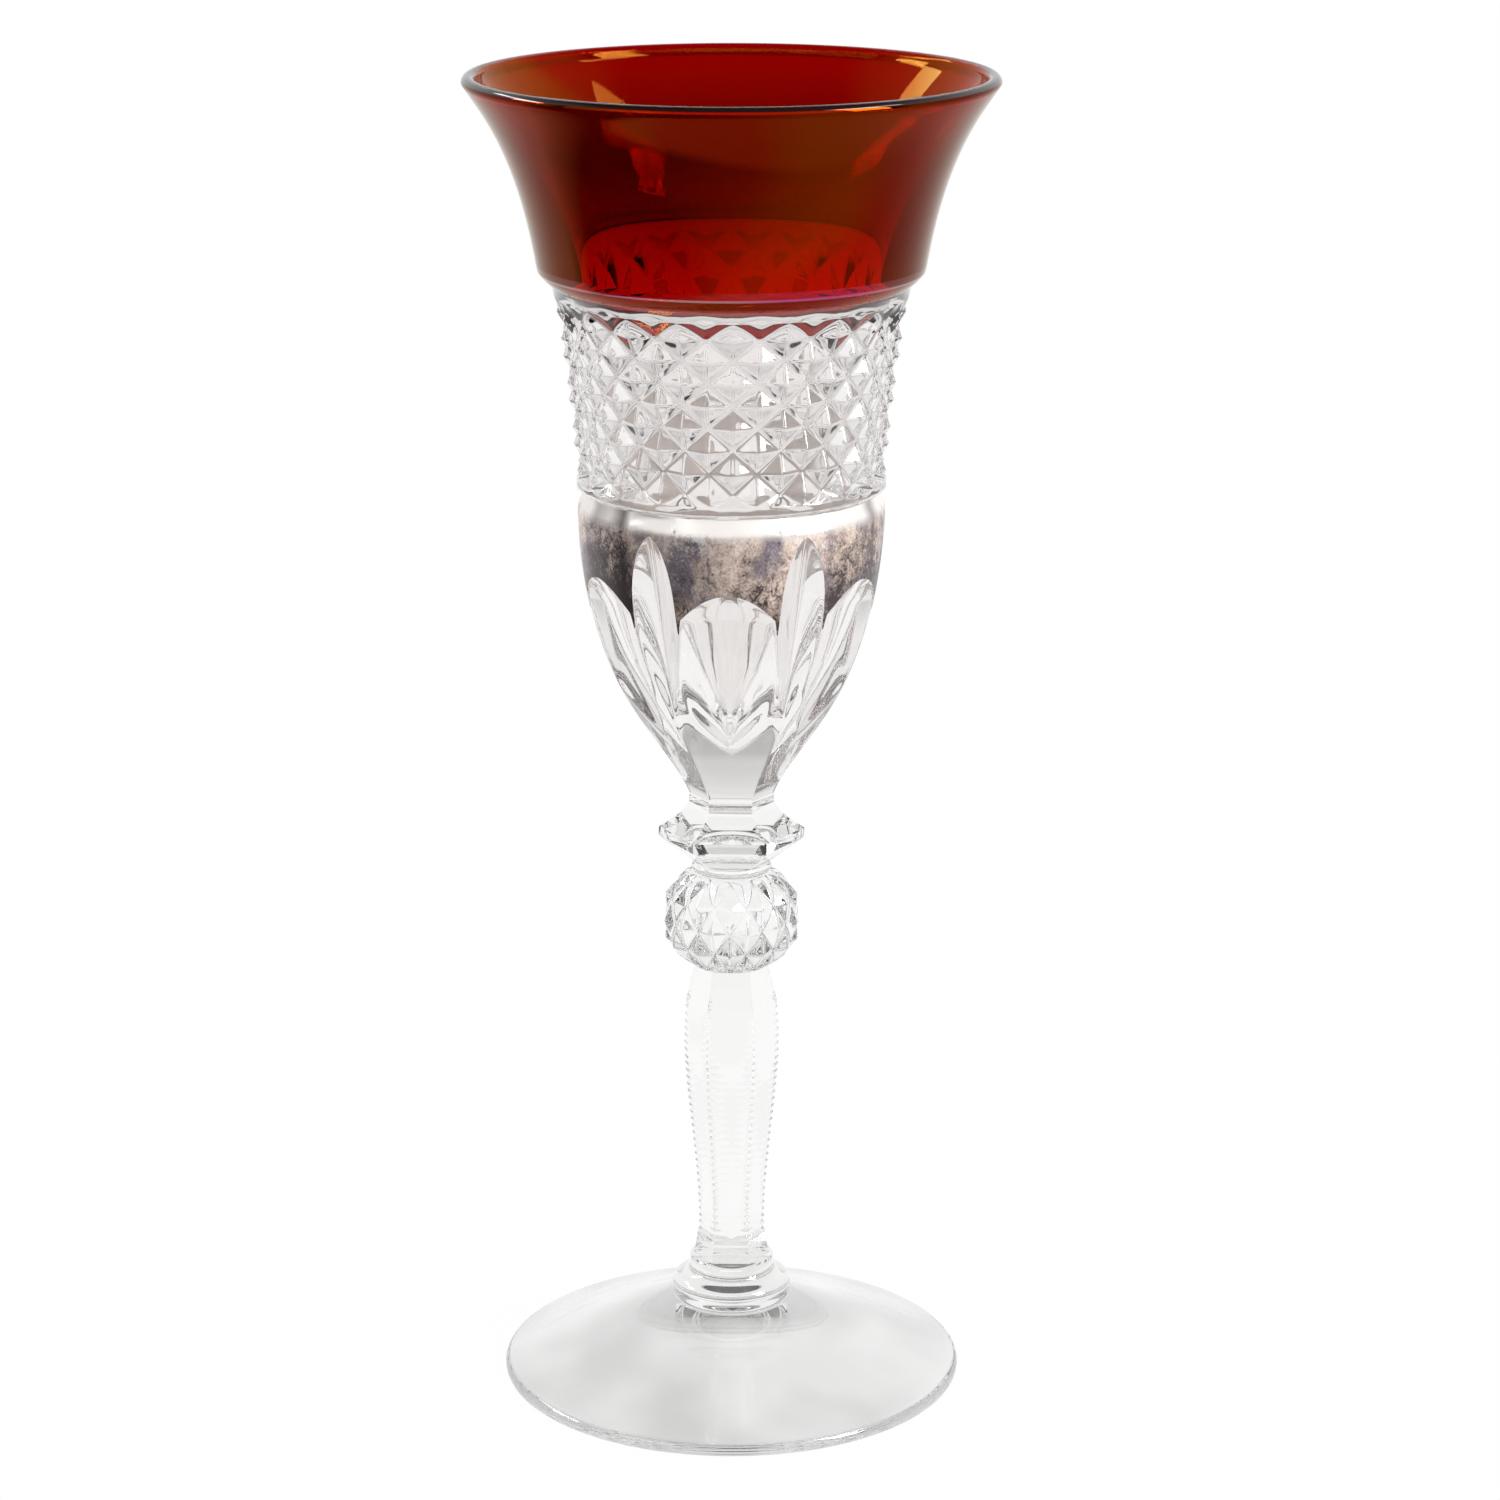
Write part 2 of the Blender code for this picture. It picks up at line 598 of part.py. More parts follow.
def make_knop(parts, cutters):
    """Make the diamond-cut knop, a squarish ball trimmed to a hexagon where it meets the stem."""
    end = KNOP_END_DIAMETER / 2
    widest = KNOP_DIAMETER / 2
    half = KNOP_HEIGHT / 2
    middle = KNOP_BASE + half
    power = KNOP_SQUARENESS
    stretch = half / (1.0 - (end / widest) ** power) ** (1.0 / power)
    levels = [KNOP_BASE + KNOP_HEIGHT * row / KNOP_ROWS for row in range(KNOP_ROWS + 1)]

    def point_radius(height):
        return widest * (1.0 - abs((height - middle) / stretch) ** power) ** (1.0 / power)

    def corner_radius(row):
        groove = KNOP_GROOVE if 0 < row < KNOP_ROWS else 0.0
        return point_radius(levels[row]) - groove

    bm = diamond_skin(levels, KNOP_POINTS, -math.pi / 2, corner_radius, point_radius)
    for loop in boundary_loops(bm):
        bmesh.ops.holes_fill(bm, edges=loop)
    glass = make_material("diamond_knop", (0.95, 0.96, 0.96), 0.02, transmission=1.0)
    knop = add_object("diamond_knop", mesh_from("diamond_knop", bm), parts, glass)
    trim_top = KNOP_BASE + KNOP_HEIGHT + CUT_MARGIN
    trim_base = KNOP_BASE - JOINT_GAP / 2
    trim = [(0.0, trim_top), (KNOP_DIAMETER, trim_top), (KNOP_DIAMETER, middle),
            (KNOP_BASE_ACROSS / 2, trim_base), (0.0, trim_base)]
    shape = as_cutter(turned("knop_trim", trim, CUT_SIDES, cutters["others"]))
    combine(knop, "INTERSECT", cutter=shape)
    finish(knop)


def stem_path():
    """Return the stem's corner line, running downwards."""
    top = STEM_BASE + STEM_LENGTH
    swell_level = top - STEM_SWELL_FROM_TOP
    waist_level = STEM_BASE + STEM_WAIST_FROM_BASE
    swell = STEM_SWELL_ACROSS / 2
    waist = STEM_WAIST_ACROSS / 2
    head = STEM_TOP_ACROSS / 2
    base = STEM_BASE_ACROSS / 2
    upper = curve((head, top), (swell, swell_level), STEM_TOP_BEND, 7)
    lower = curve((swell, swell_level), (waist, waist_level), STEM_BODY_BEND, 8)
    flare = curve((waist, waist_level), (base, STEM_BASE), STEM_BASE_BEND, 4)
    return upper + lower[1:] + flare[1:]


def make_notch_cutter(path, group):
    """Make the small wedges that notch the six corners of the stem."""
    bm = bmesh.new()
    first = STEM_BASE + NOTCH_PLAIN_BASE
    room = STEM_LENGTH - NOTCH_PLAIN_BASE - NOTCH_PLAIN_TOP
    side = 4.0 * NOTCH_DEPTH
    wedge = Matrix.Rotation(math.radians(45.0), 4, "Y") @ Matrix.Diagonal((side, 2.0 * side, side, 1.0))
    reach = side / math.sqrt(2.0) - NOTCH_DEPTH
    for index in range(int(room / NOTCH_PITCH) + 1):
        level = first + index * NOTCH_PITCH
        for corner in range(CUT_SIDES):
            turn = Matrix.Rotation(corner * 2 * math.pi / CUT_SIDES, 4, "Z")
            place = Matrix.Translation((radius_at(path, level) + reach, 0.0, level))
            bmesh.ops.create_cube(bm, size=1.0, matrix=turn @ place @ wedge)
    return as_cutter(add_object("notch_cutter", mesh_from("notch_cutter", bm), group))


def make_stem(parts, cutters):
    """Make the hexagonal baluster stem with its notched corners."""
    path = stem_path()
    profile = [(0.0, STEM_BASE + STEM_LENGTH)] + path + [(0.0, STEM_BASE)]
    glass = make_material("stem", (0.96, 0.97, 0.97), 0.02, transmission=1.0)
    stem = turned("stem", profile, CUT_SIDES, parts, glass)
    combine(stem, "DIFFERENCE", cutter=make_notch_cutter(path, cutters["others"]))
    finish(stem)


def make_button(parts):
    """Make the round button that carries the stem on the foot."""
    top = BUTTON_BASE + BUTTON_HEIGHT
    seat = BUTTON_TOP_DIAMETER / 2
    widest = BUTTON_DIAMETER / 2
    step = top - BUTTON_STEP
    edge = (widest, BUTTON_BASE + BUTTON_EDGE)
    flare = curve((seat, step), edge, BUTTON_BEND, 6)
    foot_round = curve(edge, (widest - BUTTON_EDGE_ROUND, BUTTON_BASE), BUTTON_EDGE_BEND, 3)
    profile = [(0.0, top), (seat, top)] + flare + foot_round[1:] + [(0.0, BUTTON_BASE)]
    glass = make_material("stem_button", (0.95, 0.96, 0.96), 0.02, transmission=1.0)
    finish(turned("stem_button", profile, SMALL_ROUND_STEPS, parts, glass))


def make_foot(parts):
    """Make the domed foot, hollow underneath and standing on a flat ring."""
    outer = FOOT_DIAMETER / 2
    half_edge = FOOT_EDGE / 2
    land = BUTTON_DIAMETER / 2
    rest_outer = outer - half_edge
    rest_inner = rest_outer - REST_RING_WIDTH
    dome = curve((land, FOOT_HEIGHT), (rest_outer, FOOT_EDGE), FOOT_BEND, 8)
    edge = arc((rest_outer, half_edge), half_edge, 90, -90, 4)
    hollow = curve((rest_inner, 0.0), (0.0, FOOT_HEIGHT - FOOT_WALL), FOOT_HOLLOW_BEND, 7)
    profile = [(0.0, FOOT_HEIGHT)] + dome + edge[1:] + hollow
    glass = make_material("foot", (0.95, 0.96, 0.96), 0.02, transmission=1.0)
    finish(turned("foot", profile, ROUND_STEPS, parts, glass))


def main():
    clear_scene()
    scene = bpy.context.scene.collection
    parts = make_collection(GLASS_NAME, scene)
    tools = make_collection(GLASS_NAME + "_cutters", scene)
    cutters = {}
    for name in ("panels", "scoops", "spears", "others"):
        cutters[name] = make_collection(name + "_cutters", tools)
    paths = bowl_paths()
    cutters["points"] = make_point_cutter(paths, cutters["others"])
    make_panel_cutters(paths, cutters["panels"])
    make_scoop_cutters(paths, cutters["scoops"])
    make_spear_cutters(paths, cutters["spears"])
    make_foot(parts)
    make_button(parts)
    make_stem(parts, cutters)
    make_knop(parts, cutters)
    make_wafer(parts)
    make_collar(parts)
    make_bowl(parts, cutters, paths)
    make_ruby_flash(parts, paths)
    make_silver_lustre(parts, cutters, paths)


main()
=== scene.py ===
"""A cut champagne glass with a ruby flash and a silver lustre, built on its CAD frame."""

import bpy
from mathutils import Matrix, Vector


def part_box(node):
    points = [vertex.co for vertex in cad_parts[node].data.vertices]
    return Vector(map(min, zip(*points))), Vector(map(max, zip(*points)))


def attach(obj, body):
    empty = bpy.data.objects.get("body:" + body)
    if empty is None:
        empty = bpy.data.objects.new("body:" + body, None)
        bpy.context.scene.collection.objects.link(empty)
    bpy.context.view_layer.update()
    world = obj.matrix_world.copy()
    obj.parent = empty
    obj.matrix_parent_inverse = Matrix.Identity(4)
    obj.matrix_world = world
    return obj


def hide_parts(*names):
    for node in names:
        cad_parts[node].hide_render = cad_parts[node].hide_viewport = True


bl_info = {
    "name": "Champagne Glass",
    "version": (1, 0, 0),
    "blender": (4, 5, 0),
    "location": "View3D > Sidebar > Champagne Glass",
    "description": "Builds a cut champagne glass with a ruby flash and a silver lustre",
    "category": "Add Mesh",
}

from math import cos, pi, radians, sin, sqrt, tan

import bpy
import numpy as np

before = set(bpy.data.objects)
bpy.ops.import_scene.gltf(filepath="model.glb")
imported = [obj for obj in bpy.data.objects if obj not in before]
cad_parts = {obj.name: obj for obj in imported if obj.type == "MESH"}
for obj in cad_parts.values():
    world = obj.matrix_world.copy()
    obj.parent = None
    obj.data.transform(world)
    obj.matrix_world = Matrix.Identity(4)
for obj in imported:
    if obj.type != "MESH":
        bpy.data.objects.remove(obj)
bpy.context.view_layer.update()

BODY = "root"
SIDES = 6
SIDE_ANGLE = 2 * pi / SIDES
FLAT_SHARE = cos(pi / SIDES)

# Heights and radii of the bowl's profile in metres, the same as the CAD model's.
BOWL_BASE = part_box("bowl")[0].z
LIP_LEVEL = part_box("bowl")[1].z
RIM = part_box("bowl")[1].x
LIP_ROUND = 0.0011
FLARE_TOP = LIP_LEVEL - LIP_ROUND
SHOULDER_LEVEL = BOWL_BASE + 0.0457
GROOVE_TOP = SHOULDER_LEVEL + 0.0036
GROOVE_LIP = 0.0006
POINTS_BASE = GROOVE_TOP + 0.0011
POINT_PITCH = 0.00331
POINT_ROWS = 8
RUN_OUT_BASE = 0.0017
RUN_OUT_TOP = 0.0028
FIRST_CROSSING = POINTS_BASE + RUN_OUT_BASE
POINTS_TOP = FIRST_CROSSING + (POINT_ROWS - 1) * POINT_PITCH + RUN_OUT_TOP
RUBY_BASE = POINTS_TOP + 0.0015
RUBY_STEP = (0.02870, RUBY_BASE + 0.0022)
BAND_TOP = (0.0265, RUBY_BASE)
BAND_BASE = (0.0231, POINTS_BASE)
GROOVE = (0.0220, GROOVE_TOP - GROOVE_LIP)
SHOULDER = (0.0229, SHOULDER_LEVEL)
THROAT = (0.0135, BOWL_BASE + 0.0122)
NECK = (0.00655, BOWL_BASE + 0.0009)
BOWL_FLOOR = BOWL_BASE + 0.0117
HOLLOW_SHOULDER = (0.0200, SHOULDER_LEVEL)
HOLLOW_BAND_TOP = (0.0231, RUBY_BASE)

# Handles of the curved stretches, as shares of the way across and along.
FLARE_BEND = ((0.18, 0.12), (0.73, 0.33))
RUBY_STEP_BEND = ((0.12, 0.24), (0.66, 0.80))
BAND_BEND = ((0.42, 0.33), (0.78, 0.67))
DIP_BEND = ((0.0, 0.40), (1.0, 0.52))
CUP_BEND = ((0.0, 0.30), (0.22, 0.65))
THROAT_BEND = ((0.45, 0.42), (1.0, 0.84))
HOLLOW_CUP_BEND = ((0.20, 0.02), (0.80, 0.40))
HOLLOW_BAND_BEND = ((0.25, 0.35), (0.70, 0.75))
HOLLOW_FLARE_BEND = ((0.09, 0.19), (0.45, 0.60))
COLLAR_BEND = ((0.20, 0.45), (0.55, 0.70))
STEM_TOP_BEND = ((0.88, 0.48), (1.0, 0.48))
STEM_BODY_BEND = ((0.0, 0.22), (1.0, 0.70))
STEM_BASE_BEND = ((0.0, 0.50), (0.70, 0.80))
BUTTON_BEND = ((0.10, 0.54), (1.0, 0.38))
BUTTON_EDGE_BEND = ((0.0, 0.60), (0.30, 0.92))
FOOT_BEND = ((0.23, 0.27), (0.63, 0.83))
FOOT_HOLLOW_BEND = ((0.30, 0.27), (0.72, 1.0))

# The sixfold cutting of the cup. Arch and tip are shares of a scoop's length, and the least width and the
# width at a cut's ends are shares of its widest.
PANEL_BASE = BOWL_BASE + 0.0095
PANEL_TOP = BOWL_BASE + 0.0270
PANEL_SETBACK = 0.0001
SCOOP_TOP = BOWL_BASE + 0.0374
SCOOP_BASE = BOWL_BASE + 0.0119
SPEAR_TOP = SHOULDER_LEVEL
SPEAR_BASE = BOWL_BASE + 0.0165
CUT_CLEARANCE = 0.0005
SCOOP_ARCH = 0.165
SCOOP_TIP = 0.50
SCOOP_TIP_POWER = 2.3
SPEAR_LEAF = (0.65, 1.0)
SPEAR_SOFTNESS = 0.25
LEAST_WIDTH = 0.02
END_WIDTH = 0.021

# The diamond band: points round the bowl, its turn, and rows of faces to each row of points.
POINT_COUNT = 20
POINT_TURN_DEGREES = -88.0
POINT_STEPS = 9

# The ruby flash: where on the lip's round it starts, how many points of the step's curve it takes, its bands
# and how it runs out.
FLASH_START_DEGREES = 62.0
FLASH_STEPS = 13
LIP_POINTS = 8
EDGE_BANDS = 4
HEM_BANDS = 3
STRIP_HEIGHT = 0.0010
FILM_RUN_OUT = 0.0012
FILM_END_SHARE = 0.04
FILM_CLEARANCE = 0.000012

# Bands of the lip's round that the gilt sheen inside the bowl goes over.
GILT_LIP_BANDS = 3

# The silver lustre ends where the cutting, taken with nearly sharp edges, is deeper than LUSTRE_CUT.
LUSTRE_TOP = GROOVE_TOP - GROOVE_LIP - 0.0001
LUSTRE_LOWEST = GROOVE_TOP - 0.0182
LUSTRE_CUT = 0.00004
LUSTRE_POLISH = 0.00002
LUSTRE_LEAST = 0.0001
LUSTRE_ROWS = 15

# How bright the lustre is at angles in degrees round from the front: painted highlights and painted dark
# reflections, as the lustre shows them from the front.
LUSTRE_PAINTED_REFLECTIONS = (
    (-180, 0.5), (-82, 0.75), (-68, 0.55), (-60, 0.2), (-51, 0.3), (-43, 0.03), (-37, 0.7), (-20, 0.9),
    (0, 0.95), (12, 0.7), (24, 0.85), (38, 0.8), (45, 0.4), (53, 0.55), (61, 0.45), (67, 0.15), (75, 0.5),
    (180, 0.5))

# Collar, knop, stem, button and foot: radii, heights over or under the piece's own ends, and counts.
COLLAR_TOP = 0.0065
COLLAR_END = 0.0061
COLLAR_RIM_BASE = 0.0036
COLLAR_RIM_HEIGHT = 0.0015
KNOP_WIDEST = 0.01065
KNOP_END = 0.0064
KNOP_SQUARENESS = 2.6
KNOP_COUNT = 12
KNOP_ROWS = 4
KNOP_LEVELS = 41
KNOP_RUN_OUT = 0.0008
KNOP_TRIM_BASE = 0.0070
KNOP_TRIM_MIDDLE = 0.0213
KNOP_TRIM_ROUND = 0.0004
STEM_HEAD = 0.0056
STEM_SWELL = 0.00735
STEM_SWELL_DROP = 0.0137
STEM_WAIST = 0.00515
STEM_WAIST_RISE = 0.0060
STEM_END = 0.00585
NOTCHES_RISE = 0.0032
NOTCHES_DROP = 0.0062
BUTTON_SEAT = 0.0065
BUTTON_BEVEL = 0.0002
BUTTON_SEAT_DROP = 0.0013
BUTTON_EDGE_RISE = 0.0018
BUTTON_END = 0.0091
FOOT_HEAD = 0.0092
FOOT_HALF_EDGE = 0.00115
FOOT_RING_WIDTH = 0.0012
FOOT_THICKNESS = 0.0030

# Radii of the hot joints, where one gather of glass runs into the next.
FOOT_JOINT = 0.0090
STEM_FOOT_JOINT = 0.0058
STEM_HEAD_JOINT = 0.00555
KNOP_JOINT = 0.0054
WAFER_JOINT = 0.00525
NECK_JOINT = 0.0064

# Slots of a clear piece's mesh.
CLEAR = 0
FUSED = 1
GILT = 2
FINISHES = {"Glass": CLEAR, "Joint": FUSED, "Gilt": GILT}

# Slots of a film's mesh: its face, its back on the bowl, and the flash's edge on the lip, hem and strip.
FACE = 0
BACK = 1
EDGE = 2
HEM = 3
STRIP = 4

# The glass's bending of light, and the light that its shadow keeps.
GLASS_IOR = 1.53
CLEAR_SHADE = (0.93, 0.93, 0.93)
RUBY_SHADE = (0.5, 0.06, 0.04)

# How much each sheen mirrors where it is seen square on.
GILT_SHARE = 0.022
GOLD_SHARE = 0.084
STRIP_SHARE = 0.13
HEM_SHARE = 0.24


def length(name, description, default):
    """A property that holds a size in metres."""
    return bpy.props.FloatProperty(
        name=name, description=description, default=default, min=0.0, precision=5, unit="LENGTH")


def share(name, description, default):
    """A property that holds a share between nothing and all."""
    return bpy.props.FloatProperty(
        name=name, description=description, default=default, min=0.0, max=1.0, subtype="FACTOR")


def colour(name, description, default):
    """A property that holds a linear colour."""
    return bpy.props.FloatVectorProperty(
        name=name, description=description, default=default, size=3, min=0.0, max=1.0, subtype="COLOR")


class GlassSizes(bpy.types.PropertyGroup):
    """Sizes of the cutting and of the films."""

    film: length("Flash", "Thickness of the ruby flash", 0.00028)
    lustre: length("Lustre", "Thickness of the silver lustre", 0.00003)
    joint_hair: length("Joint hair", "Half the clearance left in a hot joint", 0.00001)
    polish: length("Polish", "Roundness of the cup's cut edges", 0.0002)
    point_depth: length("Point depth", "Depth of the grooves between the band's points", 0.0014)
    knop_depth: length("Knop depth", "Depth of the grooves between the knop's points", 0.0010)
    groove_round: share("Groove round", "Roundness of the grooves between the points", 0.08)
    ridge_round: share("Ridge round", "Roundness of the points' ridges", 0.12)
    scoop_width: length("Scoop width", "Half width of the scoops", 0.0071)
    scoop_depth: length("Scoop depth", "Depth of the scoops where they are deepest", 0.0022)
    spear_width: length("Spear width", "Half width of the spears", 0.0037)
    spear_depth: length("Spear depth", "Depth of the spears where they are deepest", 0.0017)
    notch_pitch: length("Notch pitch", "Distance between the notches of the stem", 0.00115)
    notch_depth: length("Notch depth", "Depth of the notches of the stem", 0.00038)


class GlassColours(bpy.types.PropertyGroup):
    """Colours of the glass, of the films and of the stage."""

    crystal: colour("Crystal", "Tint of the clear glass", (0.950, 0.949, 0.944))
    bowl_crystal: colour("Bowl crystal", "Tint of the bowl's clear glass", (0.926, 0.906, 0.899))
    ruby: colour("Ruby", "Tint of the ruby flash", (0.50, 0.006, 0.004))
    ruby_stain: colour("Ruby stain", "Tint on the inner side of the ruby flash", (0.38, 0.025, 0.012))
    thin_stain: colour("Thin stain", "The same tint where it is thinnest", (0.86, 0.130, 0.100))
    hem: colour("Hem", "Sheen on the flash's lower edge", (1.0, 0.62, 0.66))
    strip: colour("Strip", "Sheen on the lowest strip of the flare", (1.0, 0.30, 0.22))
    # The lip's black band is painted: its near-black body stands in for the dark reflection and the light
    # lost in the lip's round.
    flash_edge: colour("Flash edge", "Thick, black flash on the lip's round", (0.012, 0.004, 0.004))
    gold: colour("Gold", "Sheen on the ruby flash", (1.0, 0.15, 0.003))
    gilt: colour("Gilt", "Sheen inside the bowl behind the flash", (1.0, 0.92, 0.05))
    gleam: colour("Gleam", "What a stained surface mirrors at a glance", (0.92, 0.83, 0.68))
    # The darkest colour of the lustre serves both its tarnished parts and its painted shade and dark
    # reflections.
    tarnish_and_shade: colour("Tarnish", "Darkest parts of the lustre", (0.060, 0.045, 0.045))
    violet: colour("Violet", "Violet bloom of the lustre", (0.30, 0.25, 0.285))
    silver: colour("Silver", "Bright silver of the lustre", (0.80, 0.76, 0.73))
    silver_back: colour("Silver back", "Lustre seen through the glass", (0.64, 0.59, 0.56))
    copper: colour("Copper", "Warm specks of the lustre", (0.72, 0.57, 0.49))
    floor: colour("Floor", "Colour of the floor", (0.80, 0.80, 0.80))


def bend(start, end, handles, count):
    """Points of one curved stretch of a profile."""
    start, end = np.array(start), np.array(end)
    first, second = start + np.array(handles) * (end - start)
    t = np.linspace(0.0, 1.0, count)[:, None]
    s = 1.0 - t
    return s ** 3 * start + 3 * s ** 2 * t * first + 3 * s * t ** 2 * second + t ** 3 * end


def arc(centre, radius, first, last, count):
    """Points of a round stretch, between two angles in degrees."""
    angles = np.radians(np.linspace(first, last, count))
    return np.column_stack([centre[0] + radius * np.cos(angles), centre[1] + radius * np.sin(angles)])


def chain(*stretches):
    """One path out of stretches that each begin where the one before ends."""
    stretches = [np.array(stretch) for stretch in stretches]
    return np.vstack([stretches[0]] + [stretch[1:] for stretch in stretches[1:]])


def inset(path, distance):
    """A downward path moved towards the inside of the glass."""
    along = np.gradient(path, axis=0)
    along /= np.linalg.norm(along, axis=1)[:, None]
    inwards = np.column_stack([along[:, 1], -along[:, 0]])
    return path + inwards * np.reshape(distance, (-1, 1))


def radius_at(path, level):
    """Radius of a downward path at one or more levels."""
    return np.interp(level, path[::-1, 1], path[::-1, 0])


def joint_level(lower, upper):
    """Height of the hot joint between two pieces, in the middle of the CAD model's gap."""
    return (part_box(lower)[1].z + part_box(upper)[0].z) / 2


def joint_levels(lower, node, upper, hair):
    """Heights of a piece's base and top, each a hair inside its hot joint."""
    return joint_level(lower, node) + hair, joint_level(node, upper) - hair


def even_angles(columns):
    return np.arange(columns) * 2 * pi / columns


def around(angles, first):
    """Angle from the nearest of six directions, the first of which is given."""
    return (angles - first + SIDE_ANGLE / 2) % SIDE_ANGLE - SIDE_ANGLE / 2


def hexagon(corner, angles):
    """Radius of a hexagon with corners on the X axis."""
    return corner * FLAT_SHARE / np.cos(around(angles, pi / SIDES))


def hexagon_angles(shares):
    """Column angles that stand at the given shares of each side of a hexagon."""
    along = (np.array(shares) - 0.5) * 2 * tan(pi / SIDES)
    sides = np.arange(SIDES)[:, None] * SIDE_ANGLE + pi / SIDES
    return (sides + np.arctan(along)).ravel()


def rings_of(rows, angles):
    """Rings of points out of rows that each hold a radius, or one for each angle, and a level."""
    rings = []
    for radius, level in rows:
        radius = radius + np.zeros(len(angles))
        level = level + np.zeros(len(angles))
        rings.append(np.column_stack([radius * np.cos(angles), radius * np.sin(angles), level]))
    return np.array(rings)


def leaning(turned, above, below, first, pitch):
    """How the faces between two levels are split, so that the splits follow the lattice of points."""
    return (turned + np.floor(((above + below) / 2 - first) / pitch)) % 2 > 0.5


def fused_rows(top, upper_joint, sides, base, lower_joint):
    """Rows of a piece that is fused at its top and its base, and the slots of the bands between them."""
    rows = [(0.0, top), (upper_joint, top)] + list(sides) + [(lower_joint, base), (0.0, base)]
    return rows, [FUSED] + [CLEAR] * (len(rows) - 3) + [FUSED]


def skin(name, rings, slots, materials, loop=False, lean=None, outside=None, sharp=40.0):
    """A closed piece over rings of points that run down its outside.

    A ring with no width is a pole. slots gives the material slot of each band of faces, and lean
    gives, for some of the bands, whether the split of each face falls away from its first corner.
    """
    columns = rings.shape[1]
    index = []
    points = []
    for ring in rings:
        pole = np.ptp(ring, axis=0).max() < 1e-9
        index.append(np.full(columns, len(points)) if pole else len(points) + np.arange(columns))
        points.extend(ring[:1] if pole else ring)
    if loop:
        index.append(index[0])
    faces = []
    face_slots = []
    for band, (top, low) in enumerate(zip(index, index[1:])):
        corners = np.column_stack([top, low, np.roll(low, -1), np.roll(top, -1)]).tolist()
        if top[0] == top[1]:
            made = [(a, b, c) for a, b, c, d in corners]
        elif low[0] == low[1]:
            made = [(a, b, d) for a, b, c, d in corners]
        elif lean is not None and band in lean:
            made = []
            for (a, b, c, d), falls in zip(corners, lean[band]):
                made += [(a, b, c), (a, c, d)] if falls else [(a, b, d), (b, c, d)]
        else:
            made = corners
        faces += made
        face_slots += [slots[band]] * len(made)
    mesh = bpy.data.meshes.new(name)
    mesh.from_pydata(np.array(points).tolist(), [], faces)
    for material in materials:
        mesh.materials.append(material)
    mesh.polygons.foreach_set("material_index", face_slots)
    finish = mesh.attributes.new("finish", "INT", "FACE")
    finish.data.foreach_set("value", face_slots)
    if outside is not None:
        cut = mesh.attributes.new("outside", "FLOAT", "POINT")
        values = [flag for ring, flag in zip(index, outside) for _ in np.unique(ring)]
        cut.data.foreach_set("value", values)
    mesh.shade_smooth()
    mesh.set_sharp_from_angle(angle=radians(sharp))
    piece = bpy.data.objects.new(name, mesh)
    bpy.context.scene.collection.objects.link(piece)
    return piece


def hand_over(piece, node):
    """Let a finished piece stand for its CAD node."""
    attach(piece, BODY)
    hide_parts(node)


def arithmetic(operation, swapped=False):
    """A method that adds one maths node to a wire's graph."""
    def method(wire, other):
        return wire.graph.math(operation, *((other, wire) if swapped else (wire, other)))
    return method


class Wire:
    """An output socket that takes arithmetic, so that node maths reads as a formula."""

    def __init__(self, graph, socket):
        self.graph = graph
        self.socket = socket

    def out(self, name):
        """Another output of the same node."""
        return Wire(self.graph, self.socket.node.outputs[name])

    def __abs__(self):
        return self.graph.math("ABSOLUTE", self)

    __add__ = __radd__ = arithmetic("ADD")
    __sub__ = arithmetic("SUBTRACT")
    __rsub__ = arithmetic("SUBTRACT", swapped=True)
    __mul__ = __rmul__ = arithmetic("MULTIPLY")
    __truediv__ = arithmetic("DIVIDE")
    __pow__ = arithmetic("POWER")
    __mod__ = arithmetic("FLOORED_MODULO")


